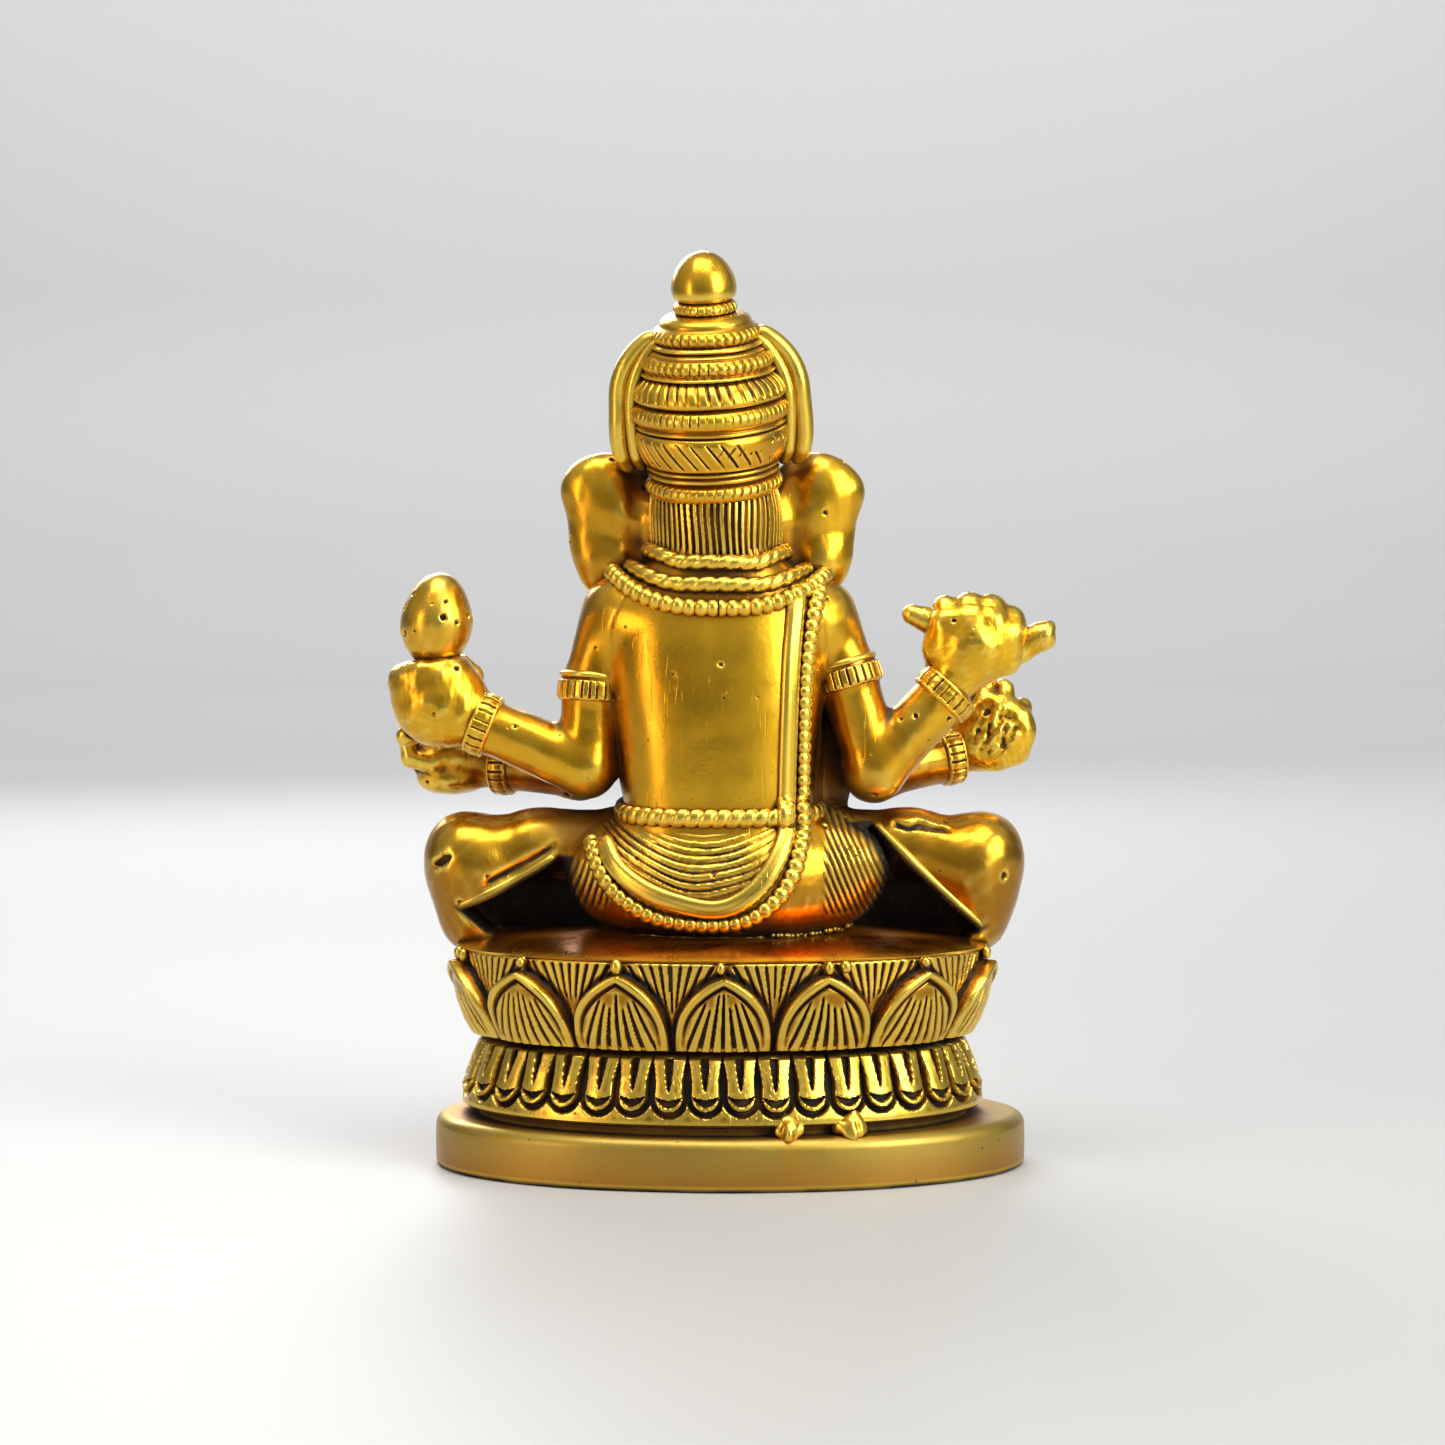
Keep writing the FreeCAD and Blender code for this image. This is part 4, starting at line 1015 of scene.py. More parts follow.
def make_sash():
    """The thread from the right shoulder round the hip: a plain cord with a string of beads outside it."""
    def line(walked, angle):
        return -0.22 * np.exp(-(np.sin(angle - np.pi / 2) / 0.25) ** 2) * (np.sin(angle) > 0)

    path, outward = on_the_back(SASH_INNER, int(420 * FINE), 0.35)
    inner = tube("sash_cord_cast", path, 1.6, relief=line, outward=outward, flat=0.62)
    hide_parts("sash_cord")
    path, outward = on_the_back(SASH_OUTER, int(900 * FINE), 0.45)
    beads = tube("sash_beads_cast", path, 1.45, relief=bead_relief(1.8, 0.42), outward=outward, flat=0.8)
    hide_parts("sash_beads")
    return [inner, beads]


def hoop(height, reach, count, field=torso_field, dip=0.0, centre=(1.8, 1.0)):
    """A closed line round a field at a height, found by stepping inward, dipping towards the back."""
    angle = np.linspace(0, 2 * np.pi, count, endpoint=False)
    way = np.stack([np.cos(angle), np.sin(angle)], axis=1)
    z = height - dip * np.sin(angle)
    far = np.full(count, 40.0)
    for _ in range(70):
        points = np.stack([centre[0] + way[:, 0] * far, centre[1] + way[:, 1] * far, z], axis=1)
        far = far - np.maximum(field(points.astype(np.float32)) - reach, -0.3) * 0.8
    path = np.stack([centre[0] + way[:, 0] * far, centre[1] + way[:, 1] * far, z], axis=1)
    outward = np.stack([way[:, 0], way[:, 1], np.zeros(count)], axis=1)
    return path, outward


def make_belt():
    """The twisted belt round the waist, under the belly."""
    def waist(points):
        return soft_min(torso_field(points), belly_field(points), 4.0)

    path, outward = hoop(BELT_Z, 0.55, int(900 * FINE), field=waist, centre=(1.8, -1.0), dip=0.6)
    belt = tube("belt_cast", path, 1.5, relief=rope_relief(2.2, 0.36, 1), outward=outward, closed=True,
                around=20, flat=0.7)
    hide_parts("belt")
    return belt


def draped_hoop(height_back, height_side, reach_side, height_front, count):
    """A necklace's closed line: low at the back, high over the shoulders and lowest on the chest."""
    middle = 1.8
    half = [(0.0, 16.0, height_back), (8.0, 14.6, height_back + 0.10 * (height_side - height_back)),
            (reach_side * 0.80, 10.4, height_back + 0.52 * (height_side - height_back)),
            (reach_side, 2.6, height_side), (reach_side * 0.94, -5.6, height_side - 1.2),
            (reach_side * 0.66, -12.6, (height_side + height_front) / 2), (0.0, -17.0, height_front)]
    right = [(-x, y, z) for x, y, z in half[1:-1]]
    ring = np.array(half + right[::-1])
    ring[:, 0] += middle
    loop = curve_through(np.concatenate([ring[-2:], ring, ring[:3]]), (len(ring) + 4) * 40 + 1)
    loop = loop[2 * 40:(2 + len(ring)) * 40]
    closed = np.vstack([loop, loop[:1]])
    walked = walked_along(closed)
    target = np.arange(count) * walked[-1] / count
    return np.stack([np.interp(target, walked, closed[:, axis]) for axis in range(3)], axis=1)


def even_out(path, reach=9):
    padded = np.concatenate([path[-reach:], path, path[:reach]])
    kernel = np.ones(2 * reach + 1) / (2 * reach + 1)
    return np.stack([np.convolve(padded[:, axis], kernel, mode="valid") for axis in range(3)], axis=1)


def laid_on(field, path, lift):
    """Pull a closed line onto a surface, then lift it a little."""
    points = path.astype(np.float32)
    for _ in range(14):
        points = points - slope(field, points, 0.5) * ((field(points) - lift) * 0.7)[:, None]
        points = even_out(points, 5).astype(np.float32)
    return points, slope(field, points, 0.6)


def make_garlands():
    """Three ropes round the neck; the lowest is beaded."""
    made = []
    under = lambda p: soft_min(body_surface(p), hair_core(p), 2.0)
    settings = ((99.2, 101.4, 12.2, 93.0, 1.25, rope_relief(2.4, 0.26, 2)),
                (95.9, 99.4, 14.8, 88.5, 1.35, rope_relief(2.6, 0.26, 2)),
                (92.5, 97.4, 17.4, 84.0, 1.5, bead_relief(1.9, 0.50)))
    for number, (back, side, reach, front, radius, relief) in enumerate(settings, start=1):
        path = draped_hoop(back, side, reach, front, int(760 * FINE))
        path, outward = laid_on(under, path, 0.35)
        rope = tube("garland_%d_cast" % number, path, radius, relief=relief, outward=outward, closed=True)
        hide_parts("garland_%d" % number)
        made.append(rope)
    return made


def hair_core(points):
    return bar(points, (2.0, 1.2, 97.0), (2.4, 1.8, 112.0), 10.6, 11.0)


# ================================================================ crown, hair and ears

CROWN_FOOT = np.array([2.4, 2.0, 109.0])
CROWN_TURN = turn_about("y", 3.0) @ turn_about("x", -7.5)
RING_SAG = math.tan(math.radians(8.0))


def crown_place(across, behind, along):
    """From the crown's own axes (left, back, up) to the frame. Its rings sag further towards the back."""
    local = np.stack(np.broadcast_arrays(across, behind, along * 0.985 - RING_SAG * behind * 0.9), axis=-1)
    return CROWN_FOOT + local @ CROWN_TURN.T


def turned(name, corners, relief, columns, spacing=0.13, place=crown_place, inner=3.0):
    """A turned ring with engraving.

    Corners are (radius, height), and relief(angle, height, radius) adds outward.
    """
    low, high = corners[0][1], corners[-1][1]
    smooth = curve_through(corners, 5 * len(corners)).tolist()
    hidden = min(radius for radius, _ in smooth) - 2.0
    outer = len(profile_rows(smooth, spacing / FINE))
    rows = profile_rows(smooth + [(inner, high), (inner, low), smooth[0]], spacing / FINE)[:-1]
    rows = thin_hidden(rows, hidden)
    angle = np.linspace(0, 2 * np.pi, int(columns * FINE), endpoint=False)
    radius = np.repeat(rows[:, 0][:, None], len(angle), axis=1)
    height = np.repeat(rows[:, 1][:, None], len(angle), axis=1)
    turn = np.repeat(angle[None], len(rows), axis=0)
    pressed = relief(turn, height, radius)
    pressed[outer:] = 0.0
    radius = radius + pressed
    points = place(radius * np.cos(turn), radius * np.sin(turn), height)
    return smooth_mesh(name, points.reshape(-1, 3), grid_faces(len(rows), len(angle), wrap_rows=True))


def window(value, low, high, soft=0.15):
    return step(low - soft, low + soft, value) * step(high + soft, high - soft, value)


def uneven(turn, seed, amount):
    """Slow unevenness round a ring, as hand filing leaves it."""
    rng = np.random.default_rng(seed)
    total = 0.0
    for rate in (2, 3, 5, 9):
        total = total + rng.uniform(0.3, 1.0) * np.sin(rate * turn + rng.uniform(0, 6.28))
    return total * amount / 2.5


def cuts(turn, count, width_share, depth, seed=0, slant=0.0):
    """Evenly spaced cuts round a ring, each a share of its space wide; slant shifts them by height."""
    share = turn * count / (2 * np.pi) + slant
    rng = np.random.default_rng(seed)
    index = np.floor(share).astype(int) % count
    middle = 0.5 + rng.uniform(-0.08, 0.08, count)[index]
    off = np.abs(share - np.floor(share) - middle)
    return -depth * step(width_share / 2 + 0.10, max(width_share / 2 - 0.10, 0.0), off) * (
        1 + rng.uniform(-0.3, 0.3, count)[index])


def knurls(turn, count, depth):
    """Rounded knurls round a ring."""
    return -depth * (1 - np.abs(np.sin(turn * count / 2)) ** 0.6)


def worn(turn, seed, least=0.3):
    """A share between least and 1 that changes slowly round a ring, for engraving worn away in places."""
    return np.clip(0.75 + 0.6 * uneven(turn, seed, 1.0), least, 1.0)


def chiselled(turn, height):
    """The dome's strokes: long slanting ones on its left, crossed by sparser short ones on its right."""
    patches = step(-0.5, 0.1, np.sin(5.0 * turn + 1.1 * height) + 0.5 * np.sin(11.0 * turn - 1.7 * height))
    falling = cuts(turn, 32, 0.10, 0.42, 4, slant=0.30 * (height - 9.0))
    rising = cuts(turn, 42, 0.07, 0.24, 5, slant=-0.42 * (height - 9.0))
    rising = rising * step(1.45, 1.75, turn) * step(4.6, 4.0, turn) * window(height, 9.9, 11.5, 0.3)
    left = np.maximum(step(1.9, 1.5, turn), step(4.0, 4.6, turn))
    strokes_here = np.minimum(falling * np.maximum(patches, left), rising * patches)
    return strokes_here * window(height, 8.0, 12.1, 0.4)


CROWN_RINGS = (
    ("crown_band", 800,
     [(9.0, 1.6), (10.3, 2.1), (11.0, 2.8), (11.3, 3.6), (11.0, 4.4), (10.3, 4.85), (10.2, 5.05), (10.7, 5.4),
      (10.8, 5.8), (10.4, 6.15), (10.75, 6.5), (10.8, 6.8), (10.3, 7.2)],
     lambda t, h: cuts(t, 46, 0.22, 0.30, 1, slant=-(h - 3.8) * 0.2) * window(h, 3.1, 4.7, 0.3) * worn(t, 2)),
    ("crown_dome", 900,
     [(10.2, 7.22), (11.2, 7.5), (11.8, 8.6), (12.2, 9.8), (12.5, 11.0), (12.6, 12.0), (12.3, 12.8),
      (11.6, 13.02)],
     chiselled),
    ("crown_ridge", 700,
     [(11.4, 13.03), (12.0, 13.15), (12.4, 13.55), (12.1, 13.95), (12.2, 14.2), (12.8, 14.8), (13.1, 15.6),
      (13.05, 16.3), (12.6, 17.0), (11.8, 17.5)],
     lambda t, h: cuts(t, 60, 0.16, 0.26, 7) * window(h, 15.2, 17.0, 0.4) * worn(t, 8, 0.1)),
    ("crown_flute", 900,
     [(11.2, 17.52), (12.2, 17.8), (12.65, 18.4), (12.6, 19.2), (12.1, 20.3), (11.4, 21.1), (10.6, 21.7)],
     lambda t, h: cuts(t, 42, 0.30, 0.62, 9, slant=(h - 19.0) * 0.10) * step(17.9, 20.2, h)
     * worn(t, 10, 0.5)),
    ("crown_bead_tier", 840,
     [(10.2, 21.72), (11.0, 21.95), (11.2, 22.3), (10.7, 22.65), (10.6, 22.85), (11.05, 23.4), (11.1, 24.2),
      (10.5, 25.0), (9.6, 25.3), (9.5, 25.6), (8.8, 26.0)],
     lambda t, h: (knurls(t, 44, 0.42) - 0.1) * window(h, 23.0, 25.0, 0.2) * worn(t, 12)),
    ("crown_upper_tier", 720,
     [(8.2, 26.02), (8.9, 26.15), (9.2, 26.5), (8.8, 26.9), (8.4, 27.1), (8.85, 27.7), (8.95, 28.4),
      (8.5, 29.1), (7.9, 29.5), (7.55, 29.8), (7.5, 30.2), (7.2, 30.7), (6.5, 31.15), (5.2, 31.5)],
     lambda t, h: knurls(t, 36, 0.40) * window(h, 27.4, 29.2, 0.2) * worn(t, 14, 0.5)),
    ("crown_collar", 520, [(4.6, 31.52), (5.1, 31.8), (5.3, 32.4), (5.0, 33.1), (4.2, 33.6)],
     lambda t, h: cuts(t, 26, 0.22, 0.18, 16) * window(h, 31.9, 33.3)))


def make_crown():
    """The crown's tiers from the band up, and the finial."""
    made = []
    for seed, (node, columns, corners, engraving) in enumerate(CROWN_RINGS, start=60):
        shape = lambda turn, height, radius: engraving(turn, height) + uneven(turn, seed, 0.12)
        piece = turned(node + "_cast", corners, shape, columns, inner=2.0)
        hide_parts(node)
        made.append(piece)
    return made + [make_finial()]


def make_finial():
    """The bud on top: a plain turned shape, closed at both ends."""
    corners = [(0.05, 33.4), (3.9, 33.5), (4.9, 34.0), (5.3, 35.0), (5.25, 36.3), (4.85, 37.7), (4.1, 39.1),
               (3.1, 40.3), (1.9, 41.1), (0.7, 41.45), (0.05, 41.5)]
    rows = profile_rows(curve_through(corners, 60).tolist(), 0.2 / FINE)
    rows[:, 0] = np.maximum(rows[:, 0], 0.02)
    angle = np.linspace(0, 2 * np.pi, int(280 * FINE), endpoint=False)
    turn, height = np.meshgrid(angle, rows[:, 1])
    radius = rows[:, 0][:, None] + uneven(turn, 17, 0.10) * window(height, 35.0, 40.0, 0.8)
    points = crown_place(radius * np.cos(turn), radius * np.sin(turn), height)
    piece = smooth_mesh("crown_finial_cast", points.reshape(-1, 3), grid_faces(len(rows), len(angle)))
    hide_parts("crown_finial")
    return piece


LOOP_ROUTE = [(7.4, 28.0), (10.2, 27.0), (12.9, 24.2), (14.5, 20.0), (15.1, 15.0), (15.0, 10.4), (14.5, 7.6),
              (13.4, 5.4)]
INNER_ROUTE = [(6.6, 27.4), (9.2, 26.0), (11.2, 23.0), (12.4, 19.2), (12.9, 15.0), (12.6, 10.6), (12.1, 7.8),
               (11.2, 5.6)]


def make_crown_loops():
    """The smooth double wings that run from the crown's upper tier down its sides to the ears."""
    made = []
    for side, sign in (("left", 1), ("right", -1)):
        route = curve_through(LOOP_ROUTE, int(420 * FINE))
        # the lower ends sink into the ears
        behind = np.interp(route[:, 1], [5.0, 8.5, 14, 28], [-3.8, -0.9, -0.4, -0.2])
        path = crown_place(sign * route[:, 0], behind, route[:, 1])
        outward = crown_place(sign * 1.0, 0.0, 0.0) - crown_place(0.0, 0.0, 0.0)
        outward = np.tile(outward, (len(path), 1))
        dents = lambda walked, angle: 0.12 * np.sin(0.6 * walked + angle)
        rope = tube(side + "_crown_loop_cast", path, 2.0, relief=dents, outward=outward, around=24, flat=0.85,
                    taper=lambda s: 0.72 + 0.28 * np.sin(np.pi * s) ** 0.6)
        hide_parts(side + "_crown_loop")
        made.append(rope)
        # the second, inner band of each wing
        inner_route = curve_through(INNER_ROUTE, int(420 * FINE))
        path = crown_place(sign * inner_route[:, 0], behind + 0.5, inner_route[:, 1])
        web = tube(side + "_crown_loop_inner", path, 1.9, relief=dents, outward=outward, flat=0.78,
                   taper=lambda s: 0.7 + 0.3 * np.sin(np.pi * s) ** 0.6)
        made.append(web)
    return made


def make_hair():
    """The bunched hair at the back of the head, combed down in grooves."""
    corners = [(7.6, 96.4), (9.2, 96.8), (10.1, 98.2), (10.6, 100.4), (10.9, 103.6), (11.0, 106.4),
               (10.8, 109.2), (10.2, 111.4), (8.6, 112.9)]

    def place(across, behind, height):
        lean = (height - 96.0) / 16.0
        x = 2.0 + 0.45 * lean + across
        y = 1.3 + 0.4 * lean + behind * 0.98
        return np.stack(np.broadcast_arrays(x, y, height - 0.02 * behind), axis=-1)

    def relief(turn, height, radius):
        sway = 0.12 * np.sin(height * 0.5 + turn * 3.0)
        lines = cuts(turn, 60, 0.46, 0.55, 18, slant=sway) * (0.6 + 0.4 * worn(turn, 19))
        return lines * window(height, 97.4, 111.6, 0.8) + uneven(turn, 20, 0.16)

    piece = turned("hair_cast", corners, relief, 1100, spacing=0.28, place=place, inner=4.0)
    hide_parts("hair")
    return piece


HEAD_X = 2.1  # the middle of the head and of both ears


def ear_field(points, sign):
    """A broad soft ear: a full upper lobe that narrows to a blunt tip below."""
    out = sign * (points[:, 0] - HEAD_X)
    centred = np.stack([out, points[:, 1], points[:, 2]], axis=1)
    narrow = 0.0 if sign > 0 else 1.6
    upper = egg(centred, (18.0 - narrow, -3.6, 110.8), (8.0, 4.4, 6.6))
    middle = egg(centred, (18.0 - narrow, -3.6, 104.0), (6.6, 3.8, 7.6))
    tip = egg(centred, (18.4 - narrow, -3.2, 98.6), (4.6, 3.1, 5.4))
    root = bar(centred, (8.0, -3.4, 106.0), (14.0, -3.4, 106.4), 5.6, 4.4)
    low_root = bar(centred, (8.0, -3.0, 99.6), (16.0, -3.2, 99.6), 3.8, 3.4)
    whole = merged(upper, (middle, 3.0), (tip, 3.0), (soft_min(root, low_root, 3.0), 2.5))
    # the front of the ear is dished
    dish = egg(centred, (19.4, -9.4, 108.0), (6.4, 4.3, 9.0))
    return soft_max(whole, -dish, 1.2)


def ear_relief(sign):
    def relief(points, normals):
        out = sign * (points[:, 0] - HEAD_X)
        y, z = points[:, 1], points[:, 2]
        rim = np.hypot((out - 18.0) / 7.2, (z - 106.4) / 11.0)
        line = -0.30 * step(0.05, 0.015, np.abs(rim - 0.78)) * step(-4.0, -6.0, y)
        # a long dip on the back, where the ear leaves the head
        dip = -0.9 * np.exp(-((out - 13.2) / 2.3) ** 2) * step(95.0, 99.0, z) * step(0.1, 0.6, normals[:, 1])
        return line + dip + cast_skin(points, 9.0, 0.20, 24)
    return relief


def make_ears():
    """Both ears, mirrored about the head's middle."""
    made = []
    for side, sign in (("left", 1), ("right", -1)):
        low = (HEAD_X + (6.0 if sign > 0 else -28.0), -9.5, 93.5)
        high = (HEAD_X + (28.0 if sign > 0 else -6.0), 2.5, 119.0)
        ear = moulded(side + "_ear_cast", lambda points: ear_field(points, sign), low, high, 0.30,
                      ear_relief(sign))
        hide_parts(side + "_ear")
        made.append(ear)
    return made


# ================================================================ head, trunk and tusks (away from the photo)

TRUNK_PATH = [(2.1, -15.5, 104.0), (2.1, -20.5, 96.5), (1.8, -22.8, 88.0), (1.2, -23.6, 79.5),
              (2.4, -25.2, 72.0), (7.2, -26.0, 67.4), (12.4, -25.2, 68.6), (14.2, -24.6, 73.0)]
TRUNK_RADII = [5.9, 5.2, 4.5, 4.0, 3.5, 3.0, 2.6, 2.3]


def trunk_field(points):
    return limb(points, list(zip(TRUNK_PATH, TRUNK_RADII)), 1.2)


def head_field(points):
    skull = egg(points, (2.1, -6.6, 105.4), (12.6, 12.0, 11.6))
    brow = egg(points, (2.1, -13.2, 108.6), (8.6, 5.2, 6.0))
    left_bump = egg(points, (5.6, -13.4, 112.0), (4.2, 4.2, 4.0))
    right_bump = egg(points, (-1.4, -13.4, 112.0), (4.2, 4.2, 4.0))
    muzzle = egg(points, (2.1, -14.2, 100.4), (7.8, 6.4, 6.6))
    cheeks = egg(points, (2.1, -11.0, 99.6), (11.4, 7.0, 5.4))
    bumps = soft_min(left_bump, right_bump, 1.2)
    total = merged(skull, (brow, 3.0), (bumps, 2.4), (muzzle, 3.0), (cheeks, 2.5))
    for sign in (1, -1):
        lid = egg(points, (HEAD_X + sign * 6.9, -16.0, 105.4), (2.7, 1.9, 1.9))
        root, tip = (HEAD_X + sign * 6.0, -14.0, 100.0), (HEAD_X + sign * 6.8, -18.0, 97.6)
        total = merged(total, (lid, 0.8), (bar(points, root, tip, 2.9, 2.5), 1.0))
    return np.maximum(total, (head_side(points) - trunk_side(points)) * 0.5)


def head_side(points):
    return egg(points, (2.1, -8.0, 105.0), (12.0, 12.0, 11.5))


def trunk_side(points):
    return trunk_field(points) + 0.4


def eye_relief(points, normals):
    """The eyes, their brows and the forehead's mark."""
    x, y, z = points.T
    total = cast_skin(points, 6.0, 0.10, 26, 0.12)
    for sign in (1, -1):
        across, up = x - (HEAD_X + sign * 6.9), z - 105.3
        almond = np.hypot(across / 2.4, up / 1.35)
        front = step(-12.0, -14.0, y)
        rim = -0.42 * np.exp(-((almond - 1.0) / 0.17) ** 2)
        pupil = -0.34 * np.exp(-(np.hypot(across, up) / 0.55) ** 2)
        brow = 0.40 * np.exp(-((up - 2.9 + 0.10 * across ** 2) / 0.55) ** 2) * step(3.6, 2.6, np.abs(across))
        total = total + (rim + pupil + brow) * front
    # the forehead mark: three level lines, a common plain ornament
    for line in range(3):
        level = np.abs(z - (108.9 + 1.25 * line))
        stroke = 0.26 * step(0.36, 0.14, level) * step(3.4, 3.0, np.abs(x - HEAD_X)) * step(-14.5, -16.0, y)
        total = total - stroke
    return total


def trunk_relief(points, normals):
    """Rings across the front of the trunk, spaced by the distance along it."""
    path = curve_through(TRUNK_PATH, 90)
    walked = walked_along(path)
    nearest = np.zeros(len(points), dtype=np.float32)
    for first in range(0, len(points), 20000):
        some = points[first:first + 20000]
        gaps = np.linalg.norm(some[:, None, :] - path[None].astype(np.float32), axis=2)
        at = np.argmin(gaps, axis=1)
        direction = np.gradient(path, axis=0)[at]
        direction /= np.linalg.norm(direction, axis=1, keepdims=True)
        nearest[first:first + 20000] = walked[at] + np.einsum("ij,ij->i", some - path[at], direction)
    rings = grooves(nearest + 0.3 * waves(points, 8.0, 27), 2.3, 0.7, 0.34, 0.2)
    front = step(0.4, -0.3, normals[:, 1])
    return rings * front + cast_skin(points, 5.0, 0.07, 28, 0.2)


# outward from the head's middle, y and height
TUSK_ROUTE = [(6.4, -15.6, 98.4), (7.4, -20.0, 96.0), (8.3, -23.6, 94.9), (8.9, -26.4, 95.3),
              (9.2, -28.4, 96.4)]


def make_head():
    """The head, the trunk and both tusks."""
    made = []
    head = moulded("head_cast", head_field, (-13, -24, 91), (17, 7, 119), 0.28, eye_relief)
    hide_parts("head")
    made.append(head)
    low = np.min(TRUNK_PATH, axis=0) - 8
    high = np.max(TRUNK_PATH, axis=0) + 8
    own = lambda p: np.maximum(trunk_field(p), (trunk_side(p) - head_side(p)) * 0.5)
    trunk = moulded("trunk_cast", own, low, high, 0.30, trunk_relief)
    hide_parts("trunk")
    made.append(trunk)
    # the right tusk is broken off short, so it has fewer points and a blunter end
    for side, sign, reached, end in (("left", 1, 5, 0.30), ("right", -1, 3, 0.86)):
        route = [(HEAD_X + sign * out, y, z) for out, y, z in TUSK_ROUTE[:reached]]
        path = curve_through(route, int(70 * FINE))
        tusk = tube(side + "_tusk_cast", path, 1.75, taper=lambda s: 1 - (1 - end) * s ** 1.4, around=24)
        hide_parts(side + "_tusk")
        made.append(tusk)
    return made


# ================================================================ hands, feet and what they hold

def axis_turn(direction, up=(0.0, 0.0, 1.0)):
    """A 3x3 matrix whose third column is a direction and whose first is as level as it can be."""
    third = np.array(direction, dtype=float)
    third /= np.linalg.norm(third)
    first = np.cross(up, third)
    if np.linalg.norm(first) < 1e-6:
        first = np.array([1.0, 0.0, 0.0])
    first /= np.linalg.norm(first)
    return np.stack([first, np.cross(third, first), third], axis=1)


def placer(centre, turn, squash=(1.0, 1.0)):
    """A function that puts a turned shape at a centre, its axis along the turn's third column."""
    centre = np.array(centre, dtype=float)

    def place(across, behind, along):
        local = np.stack(np.broadcast_arrays(across * squash[0], behind * squash[1], along), axis=-1)
        return centre + local @ turn.T
    return place


def make_wristband(name, arm, radius, ends, count=20):
    """A band of short bars between two thin rims; ends is half its length."""
    direction = toward(arm["elbow"], arm["wrist"])
    corners = [(radius - 0.9, -ends - 0.25), (radius - 0.25, -ends - 0.1), (radius, -ends + 0.25),
               (radius - 0.05, -ends + 0.6), (radius + 0.1, -0.3), (radius + 0.1, 0.3),
               (radius - 0.05, ends - 0.6), (radius, ends - 0.25), (radius - 0.25, ends + 0.1),
               (radius - 0.9, ends + 0.25)]

    def relief(turn, height, out):
        bars = cuts(turn, count, 0.20, 0.32, len(name)) * window(np.abs(height), -1.0, ends - 0.35, 0.2)
        return bars + uneven(turn, 33, 0.10)

    band = turned(name + "_cast", corners, relief, 420, spacing=0.12, inner=2.6,
                  place=placer(arm["wrist"], axis_turn(direction)))
    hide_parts(name)
    return band


def make_bands():
    """Four wristbands and two armlets."""
    made = []
    for name, arm, radius in (("rear_left", REAR_LEFT, 5.25), ("rear_right", REAR_RIGHT, 5.35),
                              ("front_left", FRONT_LEFT, 4.9), ("front_right", FRONT_RIGHT, 4.9)):
        made.append(make_wristband(name + "_wristband", arm, radius, 1.65))
    for name, arm in (("rear_left_armlet", REAR_LEFT), ("rear_right_armlet", REAR_RIGHT)):
        way = toward(arm["elbow"], arm["armlet"])
        turn = axis_turn(way)
        corners = [(4.3, -2.5), (5.2, -2.3), (5.65, -1.8), (5.65, -0.6), (5.55, 0.7), (5.2, 1.05), (5.1, 1.3),
                   (5.45, 1.6), (5.5, 2.0), (5.15, 2.4), (4.3, 2.6)]

        def relief(angle, height, out):
            return cuts(angle, 26, 0.22, 0.36, 35) * window(height, -2.0, 0.8, 0.2) + uneven(angle, 36, 0.14)

        band = turned(name + "_cast", corners, relief, 420, spacing=0.12, inner=2.6,
                      place=placer(arm["armlet"], turn))
        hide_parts(name)
        made.append(band)
    return made


def closed_fingers(points, knuckles, radius, blend):
    """Fingers as bent limbs; knuckles is a list of joint lists."""
    total = None
    for joints in knuckles:
        finger = limb(points, [(joint, radius * share) for joint, share in joints], 0.5)
        total = finger if total is None else soft_min(total, finger, blend)
    return total


def rear_left_hand_field(points):
    """A loosely closed hand that holds the bud's stem; its smooth back faces behind."""
    palm = egg(points, (47.8, 1.2, 76.6), (8.0, 5.7, 7.6), turn_about("y", -18))
    heel = bar(points, (42.6, 1.6, 73.6), (48.0, 1.2, 75.2), 4.5, 5.4)
    top = egg(points, (49.6, 0.8, 80.6), (6.6, 5.4, 4.4), turn_about("y", 10))
    fingers = [[((53.6, -1.6, 80.4 - 3.3 * n), 1.0), ((51.2, -5.0, 80.8 - 3.3 * n), 0.95),
                ((46.8, -5.8, 80.6 - 3.2 * n), 0.9)] for n in range(4)]
    thumb = limb(points, [((43.4, -2.0, 76.5), 2.0), ((42.8, -4.6, 80.4), 1.8), ((44.8, -5.4, 82.6), 1.6)],
                 0.6)
    total = merged(palm, (heel, 2.5), (top, 2.0), (closed_fingers(points, fingers, 1.75, 0.35), 0.9),
                   (thumb, 0.5))
    # the flat rim round the bud
    rim = (points - arr(48.0, 1.0, 83.7)) @ arr(0.16, 0.0, 0.987)
    return soft_max(total, rim, 1.2)


